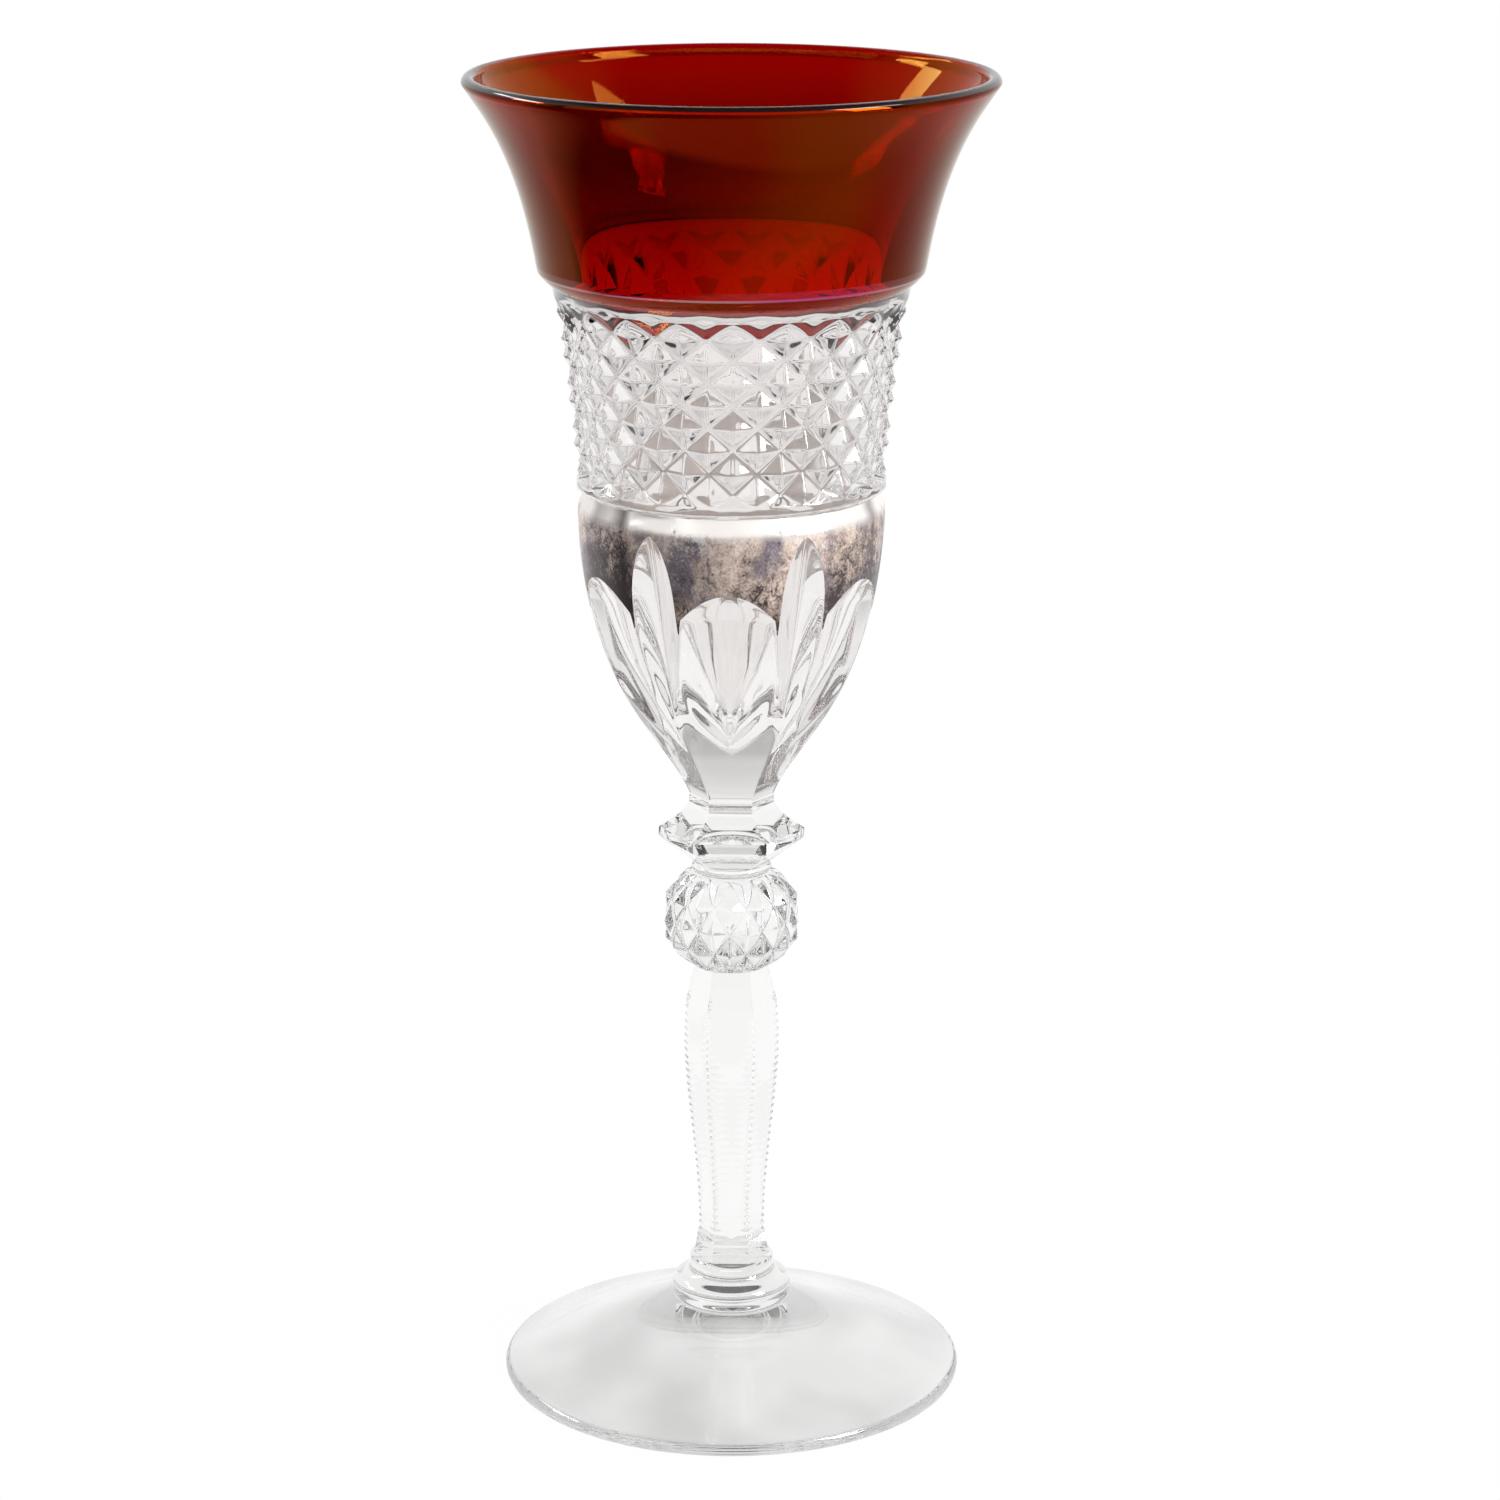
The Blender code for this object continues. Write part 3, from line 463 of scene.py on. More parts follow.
class Graph:
    """A node tree that is being written."""

    def __init__(self, tree):
        self.tree = tree
        tree.nodes.clear()

    def node(self, kind, settings=None, sockets=None, output=0):
        """Add a node, set it up, fill its sockets and return one of its outputs."""
        made = self.tree.nodes.new(kind)
        for name, value in (settings or {}).items():
            if name == "stops":
                self.fill_ramp(made.color_ramp, value)
            else:
                setattr(made, name, value)
        for name, value in (sockets or {}).items():
            if isinstance(value, Wire):
                self.tree.links.new(value.socket, made.inputs[name])
            else:
                made.inputs[name].default_value = value
        return Wire(self, made.outputs[output]) if len(made.outputs) else None

    @staticmethod
    def fill_ramp(ramp, stops):
        while len(ramp.elements) < len(stops):
            ramp.elements.new(1.0)
        for element, (place, tone) in zip(ramp.elements, stops):
            element.position = place
            element.color = grey(tone)

    def math(self, operation, *values):
        return self.node("ShaderNodeMath", {"operation": operation}, dict(enumerate(values)))

    def clamp(self, value):
        return self.node("ShaderNodeMath", {"operation": "ADD", "use_clamp": True}, {0: value, 1: 0.0})

    def ramp(self, value, stops):
        return self.node("ShaderNodeValToRGB", {"stops": stops}, {"Fac": value})

    def noise(self, place, scale, detail=2.0, rough=0.5):
        sockets = {"Vector": place, "Scale": scale, "Detail": detail, "Roughness": rough}
        return self.node("ShaderNodeTexNoise", None, sockets)

    def mix(self, factor, first, second):
        """A colour between two colours."""
        sockets = {0: factor, 6: first, 7: second}
        return self.node("ShaderNodeMix", {"data_type": "RGBA"}, sockets, output=2)

    def mix_shader(self, factor, first, second):
        return self.node("ShaderNodeMixShader", None, {0: factor, 1: first, 2: second})

    def stretch(self, place, sizes):
        """Coordinates stretched along the axes."""
        return self.node("ShaderNodeVectorMath", {"operation": "MULTIPLY"}, {0: place, 1: sizes})

    def split(self, place):
        """The X of a place, whose out() gives its Y and Z."""
        return self.node("ShaderNodeSeparateXYZ", None, {0: place})

    def bump(self, height, strength, depth):
        return self.node("ShaderNodeBump", None, {"Strength": strength, "Distance": depth, "Height": height})

    def principled(self, sockets):
        return self.node("ShaderNodeBsdfPrincipled", None, sockets)

    def transparent(self, tone):
        return self.node("ShaderNodeBsdfTransparent", None, {"Color": full(tone)})

    def dress(self, surface):
        """Make a surface the material's own."""
        self.node("ShaderNodeOutputMaterial", None, {"Surface": surface})


def new_material(name):
    """A bare material, its graph and its Object coordinates."""
    material = bpy.data.materials.new(name)
    material.use_nodes = True
    graph = Graph(material.node_tree)
    place = graph.node("ShaderNodeTexCoord", output="Object")
    return material, graph, place


def full(tone):
    """A colour with its alpha."""
    return (tone[0], tone[1], tone[2], 1.0)


def grey(tone):
    """A grey with its alpha."""
    return (tone, tone, tone, 1.0)


def lit_through(graph, surface, tone):
    """Let the lamps' light and the floor's light straight through the glass, a little dimmed."""
    path = graph.node("ShaderNodeLightPath", output="Is Shadow Ray")
    straight = graph.math("MAXIMUM", path, path.out("Is Diffuse Ray"))
    return graph.mix_shader(straight, surface, graph.transparent(tone))


def clear_glass(name, wave_scale, wave_depth, tint=None, painted_shade=0.0):
    """Fire-polished crystal whose surface is not quite even; it can be darkened in soft clouds as painted
    shade.
    """
    material, graph, place = new_material(name)
    tint = np.array(tint or bpy.context.scene.glass_colours.crystal)
    tone = full(tint)
    if painted_shade > 0.0:
        cloud = graph.ramp(graph.noise(place, 38.0, 2.0, 0.6), ((0.36, 0.0), (0.60, 1.0)))
        tone = graph.mix(cloud, full(tint * (1.0 - painted_shade)), full(tint * (1.0 - painted_shade / 4)))
    normal = graph.bump(graph.noise(place, wave_scale, 1.0), 1.0, wave_depth)
    surface = graph.principled({"Base Color": tone, "Roughness": 0.0, "IOR": GLASS_IOR,
                                "Transmission Weight": 1.0, "Normal": normal})
    graph.dress(lit_through(graph, surface, CLEAR_SHADE))
    return material


def hot_joint():
    """The inside of a joint between two gathers, which light crosses unbent."""
    material = bpy.data.materials.get("hot_joint")
    if material is None:
        material, graph, place = new_material("hot_joint")
        graph.dress(graph.transparent((1.0, 1.0, 1.0)))
    return material


def stained_glass(name, tint, sheen_tint, shade, sheen_share):
    """Glass under a stain with a metallic sheen, redder in patches, that gleams pale at a glance."""
    material, graph, place = new_material(name)
    normal = graph.bump(graph.noise(place, 60.0, 1.0), 1.0, 0.00003)
    glass = graph.node("ShaderNodeBsdfRefraction", None,
                       {"Color": full(tint), "Roughness": 0.0, "IOR": GLASS_IOR, "Normal": normal})
    patch = graph.clamp((graph.noise(place, 36.0, 0.6) - 0.44) * 8.0)
    red_tint = (sheen_tint[0], sheen_tint[1] * 0.4, sheen_tint[2])
    tone = graph.mix(patch, full(red_tint), full(sheen_tint))
    sheen = graph.principled({"Base Color": tone, "Metallic": 1.0, "Roughness": 0.04, "Normal": normal})
    pale = full(bpy.context.scene.glass_colours.gleam)
    gloss = graph.principled({"Base Color": pale, "Metallic": 1.0, "Roughness": 0.02, "Normal": normal})
    facing = graph.node("ShaderNodeLayerWeight", None, {"Blend": 0.5}, output="Facing")
    surface = graph.mix_shader(sheen_share + 0.09 * facing ** 1.5, glass, sheen)
    surface = graph.mix_shader(facing ** 6.0, surface, gloss)
    graph.dress(lit_through(graph, surface, shade))
    return material


def plain(name, tint, sockets):
    """A surface of one even colour that light doesn't go through."""
    material, graph, place = new_material(name)
    graph.dress(graph.principled({"Base Color": full(tint), **sockets}))
    return material


def ruby_stain():
    """The flash's inner side, fused to the bowl; its stain thins by the lower end and under the lip."""
    material, graph, place = new_material("ruby_stain")
    colours = bpy.context.scene.glass_colours
    level = graph.split(place).out("Z")
    low = graph.clamp((RUBY_BASE + 0.014 - level) / 0.012)
    high = graph.clamp((level - LIP_LEVEL + 0.0100) / 0.006)
    thick, thin = graph.transparent(colours.ruby_stain), graph.transparent(colours.thin_stain)
    graph.dress(graph.mix_shader(low + 0.40 * high, thick, thin))
    return material


def silver_lustre():
    """Worn, crackled silver lustre, dark where tarnished, with copper specks, and with painted highlights,
    dark reflections and shade over it.
    """
    material, graph, place = new_material("silver_lustre")
    colours = bpy.context.scene.glass_colours
    spots = graph.split(place)
    below = SHOULDER_LEVEL - spots.out("Z")
    # low is painted shade: the lustre darkens towards its lower end.
    low = graph.clamp((below - 0.004) / 0.011)
    worn = graph.clamp((below + 0.0012) / 0.0016)
    # The lustre is made lighter just under its top edge.
    lighter_top = graph.clamp(1.0 - below / 0.003)
    blotch = graph.noise(place, 160.0, 2.0, 0.5)
    mottle = graph.noise(place, 520.0, 4.0, 0.7)
    hue = graph.noise(graph.stretch(place, (1.0, 1.0, 0.6)), 150.0, 2.0, 0.5)
    grain = graph.noise(place, 2600.0, 3.0, 0.7)
    scuff = graph.noise(graph.stretch(place, (1.0, 1.0, 0.5)), 420.0, 4.0, 0.75)
    crackle = graph.node("ShaderNodeTexVoronoi", {"feature": "DISTANCE_TO_EDGE"},
                         {"Vector": graph.stretch(place, (1.0, 1.0, 0.7)), "Scale": 900.0}, output="Distance")
    # patch paints the lustre's highlights and dark reflections by the angle round from the front.
    turn = graph.math("ARCTAN2", spots, 0.0 - spots.out("Y"))
    patch = graph.ramp(turn / (2 * pi) + 0.5, [(0.5 + angle / 360, tone) for angle, tone in LUSTRE_PAINTED_REFLECTIONS])
    crack = graph.noise(graph.stretch(place, (1.0, 1.0, 0.6)), 190.0, 3.0, 0.6)
    crack = graph.clamp(1.0 - abs(crack - 0.5) * 45.0) * graph.clamp((blotch - 0.45) * 6.0)
    # The tone mixes random blotches, mottle and grain with painted light and shade by the angle round from
    # the front, a lift under the top edge and painted shade towards the lower end; scuffs and cracks darken
    # it as wear. Where it runs high it turns silver, so the silver there is partly painted highlight.
    tone = 0.85 * patch + (blotch - 0.5) * 0.9 + (mottle - 0.5) * 1.6 + (grain - 0.5) * 1.6
    tone = tone + 0.20 * lighter_top - 0.58 * low - graph.clamp((0.40 - scuff) * 9.0) * 0.4
    tone = tone - crack * 0.6 - graph.clamp(1.0 - crackle * 14.0) * graph.clamp((blotch - 0.4) * 5.0) * 0.35
    bright = graph.mix(graph.clamp((hue - 0.44) * 8.0), full(colours.violet), full(colours.copper))
    bright = graph.mix(graph.clamp((tone - 0.80) * 2.5), bright, full(colours.silver))
    base = graph.mix(graph.clamp(tone * 1.25), full(colours.tarnish_and_shade), bright)
    # Above the shoulder, where worn falls away, the band is painted reflection: silver where patch paints a
    # highlight, dark where it paints a dark reflection.
    edge = graph.mix(graph.clamp(patch * 2.2), full(colours.tarnish_and_shade), full(colours.silver))
    base = graph.mix(worn, edge, base)
    normal = graph.bump(grain, 0.5, 0.00002)
    graph.dress(graph.principled({"Base Color": base, "Metallic": 0.6, "Roughness": 0.28, "Normal": normal}))
    return material


def geometry_graph(name, inputs):
    """A geometry node tree with named inputs, its graph, the inputs' values and the points' places."""
    tree = bpy.data.node_groups.new(name, "GeometryNodeTree")
    tree.interface.new_socket("Geometry", in_out="INPUT", socket_type="NodeSocketGeometry")
    for label, default in inputs.items():
        socket = tree.interface.new_socket(label, in_out="INPUT", socket_type="NodeSocketFloat")
        socket.default_value = default
    for label in FINISHES:
        tree.interface.new_socket(label, in_out="INPUT", socket_type="NodeSocketMaterial")
    tree.interface.new_socket("Geometry", in_out="OUTPUT", socket_type="NodeSocketGeometry")
    graph = Graph(tree)
    given = graph.node("NodeGroupInput")
    value = {label: given.out(label) for label in ("Geometry", *inputs, *FINISHES)}
    spots = graph.split(graph.node("GeometryNodeInputPosition"))
    return tree, graph, value, spots


def close_geometry(graph, value, spots, cut):
    """Move the points towards the axis by a cut, then give the faces their materials by their finish."""
    factor = 1.0 - cut / axis_distance(graph, spots)
    moved = graph.node("ShaderNodeCombineXYZ", None,
                       {0: spots * factor, 1: spots.out("Y") * factor, 2: spots.out("Z")})
    shape = graph.node("GeometryNodeSetPosition", None, {"Geometry": value["Geometry"], "Position": moved})
    shape = graph.node("GeometryNodeRealizeInstances", None, {"Geometry": shape})
    finish = graph.node("GeometryNodeInputNamedAttribute", {"data_type": "INT"}, {"Name": "finish"})
    for label, slot in FINISHES.items():
        chosen = graph.node("FunctionNodeCompare", {"data_type": "INT", "operation": "EQUAL"},
                            {2: finish, 3: slot})
        sockets = {"Geometry": shape, "Selection": chosen, "Material": value[label]}
        shape = graph.node("GeometryNodeSetMaterial", None, sockets)
    graph.node("NodeGroupOutput", None, {"Geometry": shape})


def axis_distance(graph, spots):
    """Distance from the axis, never quite nothing."""
    x, y = spots, spots.out("Y")
    return graph.math("MAXIMUM", (x * x + y * y) ** 0.5, 1e-6)


def diamond_cutting():
    """The tree that cuts crossing grooves round a turned piece, so that points stand between them."""
    name = "Diamond cutting"
    if name in bpy.data.node_groups:
        return bpy.data.node_groups[name]
    inputs = {"Count": 20.0, "Pitch": 0.003, "Depth": 0.001, "Turn": 0.0, "First": 0.0,
              "Base": 0.0, "Top": 0.1, "Base run-out": 0.001, "Top run-out": 0.001,
              "Groove round": 0.1, "Ridge round": 0.1}
    tree, graph, value, spots = geometry_graph(name, inputs)
    z = spots.out("Z")
    angle = graph.math("ARCTAN2", spots.out("Y"), spots)
    across = (angle - value["Turn"]) * value["Count"] / pi
    along = (z - value["First"]) / value["Pitch"]

    def from_groove(line):
        """Distance from the nearest groove of one family: nothing in it and one midway."""
        away = abs((line + 1.0) % 2.0 - 1.0)
        soft = value["Groove round"]
        return ((away * away + soft * soft) ** 0.5 - soft) / ((soft * soft + 1.0) ** 0.5 - soft)

    height = graph.math("SMOOTH_MIN", from_groove(across - along), from_groove(across + along),
                        value["Ridge round"])
    rise = graph.clamp((z - value["Base"]) / value["Base run-out"])
    fall = graph.clamp((value["Top"] - z) / value["Top run-out"])
    outside = graph.node("GeometryNodeInputNamedAttribute", {"data_type": "FLOAT"}, {"Name": "outside"})
    cut = value["Depth"] * (1.0 - height) * rise * fall * outside
    close_geometry(graph, value, spots, cut)
    return tree


def corner_notches():
    """The tree that notches the corners of a hexagonal stem."""
    inputs = {"Pitch": 0.001, "Depth": 0.0004, "Width": 0.001, "Base": 0.0, "Top": 0.1}
    tree, graph, value, spots = geometry_graph("Corner notches", inputs)
    z = spots.out("Z")
    angle = graph.math("ARCTAN2", spots.out("Y"), spots)
    aside = abs((angle + SIDE_ANGLE / 2) % SIDE_ANGLE - SIDE_ANGLE / 2) * axis_distance(graph, spots)
    near = graph.clamp(1.0 - aside / value["Width"])
    wave = abs(((z - value["Base"]) / value["Pitch"]) % 1.0 - 0.5) * 2.0
    rise = graph.clamp((z - value["Base"]) / value["Pitch"])
    fall = graph.clamp((value["Top"] - z) / value["Pitch"])
    cut = value["Depth"] * near * wave * rise * fall
    close_geometry(graph, value, spots, cut)
    return tree


def run_tree(piece, tree, values, sharp):
    """Run a geometry tree on a piece and make its result the piece's own plain mesh."""
    modifier = piece.modifiers.new(tree.name, "NODES")
    modifier.node_group = tree
    for item in tree.interface.items_tree:
        if item.in_out == "INPUT" and item.name in values:
            modifier[item.identifier] = values[item.name]
    depsgraph = bpy.context.evaluated_depsgraph_get()
    depsgraph.update()
    mesh = bpy.data.meshes.new_from_object(piece.evaluated_get(depsgraph))
    if len(mesh.vertices) != len(piece.data.vertices):
        raise RuntimeError("the tree " + tree.name + " lost points of " + piece.name)
    piece.modifiers.clear()
    piece.data = mesh
    mesh.shade_smooth()
    mesh.set_sharp_from_angle(angle=radians(sharp))


def soft_min(first, second, width):
    """The lesser of two values, rounded where they cross."""
    near = np.maximum(width - np.abs(first - second), 0.0) / width
    return np.minimum(first, second) - near * near * width / 4


def bowl_outside():
    """The named stretches of the bowl's outside, each running downwards."""
    lip_centre = (RIM - LIP_ROUND, FLARE_TOP)
    flash_lip = arc(lip_centre, LIP_ROUND, FLASH_START_DEGREES, 0, LIP_POINTS)
    flare = bend((RIM, FLARE_TOP), RUBY_STEP, FLARE_BEND, 20)
    strip_top = RUBY_STEP[1] + STRIP_HEIGHT
    flare = np.vstack([flare[:-1], (radius_at(flare, strip_top), strip_top), flare[-1:]])
    step = bend(RUBY_STEP, BAND_TOP, RUBY_STEP_BEND, 15)
    return {
        "lip": arc(lip_centre, LIP_ROUND, 180, FLASH_START_DEGREES, 10),
        "ruby": chain(flash_lip, flare, step[:FLASH_STEPS]),
        "ledge": step[FLASH_STEPS:-1],
        "band": bend(BAND_TOP, BAND_BASE, BAND_BEND, 60),
        "dip": bend(GROOVE, SHOULDER, DIP_BEND, 10),
        "cup": chain(bend(SHOULDER, THROAT, CUP_BEND, 52), bend(THROAT, NECK, THROAT_BEND, 22)),
    }


def panel_radius(angles, levels, cup):
    """Radius of the hexagonal panels of the neck, which run out into the round cup above."""
    done = np.clip((levels - PANEL_BASE) / (PANEL_TOP - PANEL_BASE), 0.0, 1.0)
    eased = done * done * (3.0 - 2.0 * done)
    flat = radius_at(cup, levels) - PANEL_SETBACK * (1.0 - eased)
    flat = flat * (FLAT_SHARE + (1.0 - FLAT_SHARE) * eased)
    return flat[:, None] / np.cos(around(angles, -pi / 2))


def scoop_outline(levels):
    """Width along a scoop as a share of its widest: a flat arch, upright sides and a pointed tip."""
    done = np.clip((SCOOP_TOP - levels) / (SCOOP_TOP - SCOOP_BASE), 0.0, 1.0)
    arch = np.sqrt(np.clip(done / SCOOP_ARCH, 0.0, 1.0))
    return arch * (1.0 - np.clip((done - SCOOP_TIP) / (1.0 - SCOOP_TIP), 0.0, 1.0) ** SCOOP_TIP_POWER)


def spear_outline(levels):
    """Width along a spear as a share of its widest: a leaf with two points."""
    rise, fall = SPEAR_LEAF
    done = np.clip((SPEAR_TOP - levels) / (SPEAR_TOP - SPEAR_BASE), 0.0, 1.0)
    widest = rise / (rise + fall)
    return (done / widest) ** rise * ((1.0 - done) / (1.0 - widest)) ** fall


def scoop_depth(angles, levels, radius, sizes):
    """Depth of the six scoops, hollow across; less than nothing outside them."""
    width = np.maximum(scoop_outline(levels), LEAST_WIDTH)[:, None]
    aside = radius * np.sin(around(angles, -pi / 2)) / (sizes.scoop_width * width)
    return sizes.scoop_depth * width * (1.0 - aside ** 2) - CUT_CLEARANCE * (width < END_WIDTH)


def spear_depth(angles, levels, radius, sizes):
    """Depth of the six spears, which are nearly mitred across; less than nothing outside them."""
    width = np.maximum(spear_outline(levels), LEAST_WIDTH)[:, None]
    aside = radius * np.sin(around(angles, -pi / 3)) / (sizes.spear_width * width)
    soft = SPEAR_SOFTNESS
    across = (np.sqrt(aside ** 2 + soft ** 2) - soft) / (sqrt(1.0 + soft ** 2) - soft)
    return sizes.spear_depth * width * (1.0 - across) - CUT_CLEARANCE * (width < END_WIDTH)


def cut_cup(angles, path, sizes, polish):
    """Radius of the cup after its panels, scoops and spears are cut, for each point of a path and angle."""
    levels = path[:, 1]
    radius = path[:, 0][:, None] + np.zeros(len(angles))
    radius = soft_min(radius, panel_radius(angles, levels, path), polish)
    uncut = radius
    for depth in (scoop_depth, spear_depth):
        radius = soft_min(radius, uncut - depth(angles, levels, uncut, sizes), polish)
    return radius


def film_depth(path, thickness):
    """Thickness of the flash along its path, which runs out at both ends."""
    steps = np.linalg.norm(np.diff(path, axis=0), axis=1)
    done = np.concatenate([[0.0], np.cumsum(steps)])
    nearest = np.minimum(done, done[-1] - done)
    return thickness * np.clip(FILM_END_SHARE + nearest / FILM_RUN_OUT, 0.0, 1.0)


class GLASS_OT_bowl(bpy.types.Operator):
    """Build the clear bowl with its diamond points and its sixfold cutting"""

    bl_idname = "glass.bowl"
    bl_label = "Bowl"

    def execute(self, context):
        sizes = context.scene.glass_sizes
        colours = context.scene.glass_colours
        paths = bowl_outside()
        angles = np.radians(np.arange(360.0))
        rim_inside = (RIM - 2 * LIP_ROUND, FLARE_TOP)
        inside = chain(bend((0.0, BOWL_FLOOR), HOLLOW_SHOULDER, HOLLOW_CUP_BEND, 18),
                       bend(HOLLOW_SHOULDER, HOLLOW_BAND_TOP, HOLLOW_BAND_BEND, 9),
                       bend(HOLLOW_BAND_TOP, rim_inside, HOLLOW_FLARE_BEND, 40))
        rows = list(chain(inside, paths["lip"]))
        gilt_end = len(inside) + GILT_LIP_BANDS
        slots = [GILT if level > RUBY_BASE else CLEAR for radius, level in rows[:gilt_end]]
        slots += [CLEAR] * (len(rows) - gilt_end)
        outside = [0.0] * len(rows)

        depth = film_depth(paths["ruby"], sizes.film) + FILM_CLEARANCE
        rows += list(inset(paths["ruby"], depth))
        slots += [FUSED] * (len(paths["ruby"]) - 2)
        rows += list(paths["ledge"]) + [BAND_TOP]

        finest = POINT_PITCH / POINT_STEPS
        lowest = int(np.ceil((POINTS_BASE - FIRST_CROSSING) / finest + 0.01))
        highest = int(np.floor((POINTS_TOP - FIRST_CROSSING) / finest - 0.01))
        levels = [POINTS_TOP] + [FIRST_CROSSING + step * finest for step in range(highest, lowest - 1, -1)]
        levels.append(POINTS_BASE)
        lean = {}
        turned = np.floor((np.arange(360) - POINT_TURN_DEGREES) / (180.0 / POINT_COUNT))
        for above, below in zip(levels, levels[1:]):
            lean[len(rows)] = leaning(turned, above, below, FIRST_CROSSING, POINT_PITCH)
            rows.append((radius_at(paths["band"], above), above))
        rows.append((radius_at(paths["band"], levels[-1]), levels[-1]))

        cup = chain(paths["dip"], paths["cup"])
        rows += [(BAND_BASE[0], GROOVE_TOP), cup[0]]
        rows += list(zip(cut_cup(angles, cup, sizes, sizes.polish)[1:], cup[1:, 1]))
        seat = joint_level("hex_collar", "bowl") + sizes.joint_hair
        rows += [(rows[-1][0], seat), (hexagon(NECK_JOINT, angles), seat), (0.0, seat)]
        slots += [CLEAR] * (len(rows) - 2 - len(slots)) + [FUSED]
        outside += [1.0] * (len(rows) - len(outside))

        glass = clear_glass("bowl_crystal", wave_scale=70.0, wave_depth=0.00004, tint=colours.bowl_crystal)
        joint = hot_joint()
        gilt = stained_glass("gilt_crystal", colours.crystal, colours.gilt, CLEAR_SHADE, GILT_SHARE)
        piece = skin("bowl", rings_of(rows, angles), slots, [glass, joint, gilt], lean=lean, outside=outside)
        values = {"Count": float(POINT_COUNT), "Pitch": POINT_PITCH, "Depth": sizes.point_depth,
                  "Turn": radians(POINT_TURN_DEGREES), "First": FIRST_CROSSING,
                  "Base": POINTS_BASE, "Top": POINTS_TOP,
                  "Base run-out": RUN_OUT_BASE, "Top run-out": RUN_OUT_TOP,
                  "Groove round": sizes.groove_round, "Ridge round": sizes.ridge_round,
                  "Glass": glass, "Joint": joint, "Gilt": gilt}
        run_tree(piece, diamond_cutting(), values, sharp=62.0)
        hand_over(piece, "bowl")
        return {"FINISHED"}


class GLASS_OT_ruby_flash(bpy.types.Operator):
    """Build the ruby flash on the outside of the bowl's flared top"""

    bl_idname = "glass.ruby_flash"
    bl_label = "Ruby flash"

    def execute(self, context):
        colours = context.scene.glass_colours
        outer = bowl_outside()["ruby"]
        inner = inset(outer, film_depth(outer, context.scene.glass_sizes.film))
        rows = list(outer) + list(inner[::-1])
        slots = [EDGE] * EDGE_BANDS + [FACE] * (len(outer) - 1 - EDGE_BANDS) + [BACK] * (len(inner) + 1)
        hem_start = len(outer) - FLASH_STEPS
        slots[hem_start:hem_start + HEM_BANDS] = [HEM] * HEM_BANDS
        slots[hem_start - 1] = STRIP
        sheens = (("ruby_flash", colours.gold, GOLD_SHARE), ("flash_hem", colours.hem, HEM_SHARE),
                  ("flash_strip", colours.strip, STRIP_SHARE))
        face, hem, strip = [stained_glass(name, colours.ruby, tint, RUBY_SHADE, sheen_share)
                            for name, tint, sheen_share in sheens]
        # The lip's round is an opaque near-black body, a painted dark in place of the dark reflection and
        # lost light there; its gloss still mirrors the lamps and the surround.
        edge = plain("flash_edge", colours.flash_edge, {"Roughness": 0.05, "IOR": 1.55})
        piece = skin("ruby_flash", rings_of(rows, even_angles(240)), slots,
                     [face, ruby_stain(), edge, hem, strip], loop=True)
        hand_over(piece, "ruby_flash")
        return {"FINISHED"}


class GLASS_OT_silver_lustre(bpy.types.Operator):
    """Build the worn lustre on the shoulder, scalloped where the cutting goes through it"""

    bl_idname = "glass.silver_lustre"
    bl_label = "Silver lustre"

    def execute(self, context):
        sizes = context.scene.glass_sizes
        paths = bowl_outside()
        cup = chain(paths["dip"], paths["cup"])
        angles = even_angles(720)
        levels = np.linspace(LUSTRE_TOP, LUSTRE_LOWEST, 400)
        fine = np.column_stack([radius_at(cup, levels), levels])
        whole = np.vstack([fine, cup[cup[:, 1] < LUSTRE_LOWEST]])
        cut = whole[:, 0][:, None] - cut_cup(angles, whole, sizes, LUSTRE_POLISH) > LUSTRE_CUT
        cut = cut[:len(levels)]
        cut[-1] = True
        lowest = np.minimum(levels[np.argmax(cut, axis=0)], LUSTRE_TOP - LUSTRE_LEAST)
        shares = np.linspace(0.0, 1.0, LUSTRE_ROWS)
        rows = []
        for lift, way in ((2 * sizes.lustre, shares), (sizes.lustre, shares[::-1])):
            for done in way:
                level = LUSTRE_TOP + (lowest - LUSTRE_TOP) * done
                rows.append((radius_at(cup, level) + lift, level))
        slots = [FACE] * LUSTRE_ROWS + [BACK] * (LUSTRE_ROWS - 1) + [FACE]
        back = plain("silver_back", context.scene.glass_colours.silver_back,
                     {"Metallic": 1.0, "Roughness": 0.3})
        piece = skin("silver_lustre", rings_of(rows, angles), slots, [silver_lustre(), back], loop=True)
        hand_over(piece, "silver_lustre")
        return {"FINISHED"}


class GLASS_OT_hex_collar(bpy.types.Operator):
    """Build the hexagonal collar under the bowl"""

    bl_idname = "glass.hex_collar"
    bl_label = "Hexagonal collar"

    def execute(self, context):
        base, top = joint_levels("neck_wafer", "hex_collar", "bowl", context.scene.glass_sizes.joint_hair)
        rim_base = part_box("hex_collar")[0].z + COLLAR_RIM_BASE
        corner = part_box("hex_collar")[1].x
        angles = hexagon_angles((0.0, 0.03, 0.25, 0.5, 0.75, 0.97))
        flare = bend((COLLAR_TOP, top), (corner, rim_base + COLLAR_RIM_HEIGHT), COLLAR_BEND, 16)
        sides = list(flare) + [(corner, rim_base), (COLLAR_END, base)]
        sides = [(hexagon(radius, angles), level) for radius, level in sides]
        rows, slots = fused_rows(top, hexagon(NECK_JOINT, angles), sides, base, WAFER_JOINT)
        glass = clear_glass("collar_crystal", wave_scale=90.0, wave_depth=0.00004)
        piece = skin("hex_collar", rings_of(rows, angles), slots, [glass, hot_joint()], sharp=20.0)
        hand_over(piece, "hex_collar")
        return {"FINISHED"}


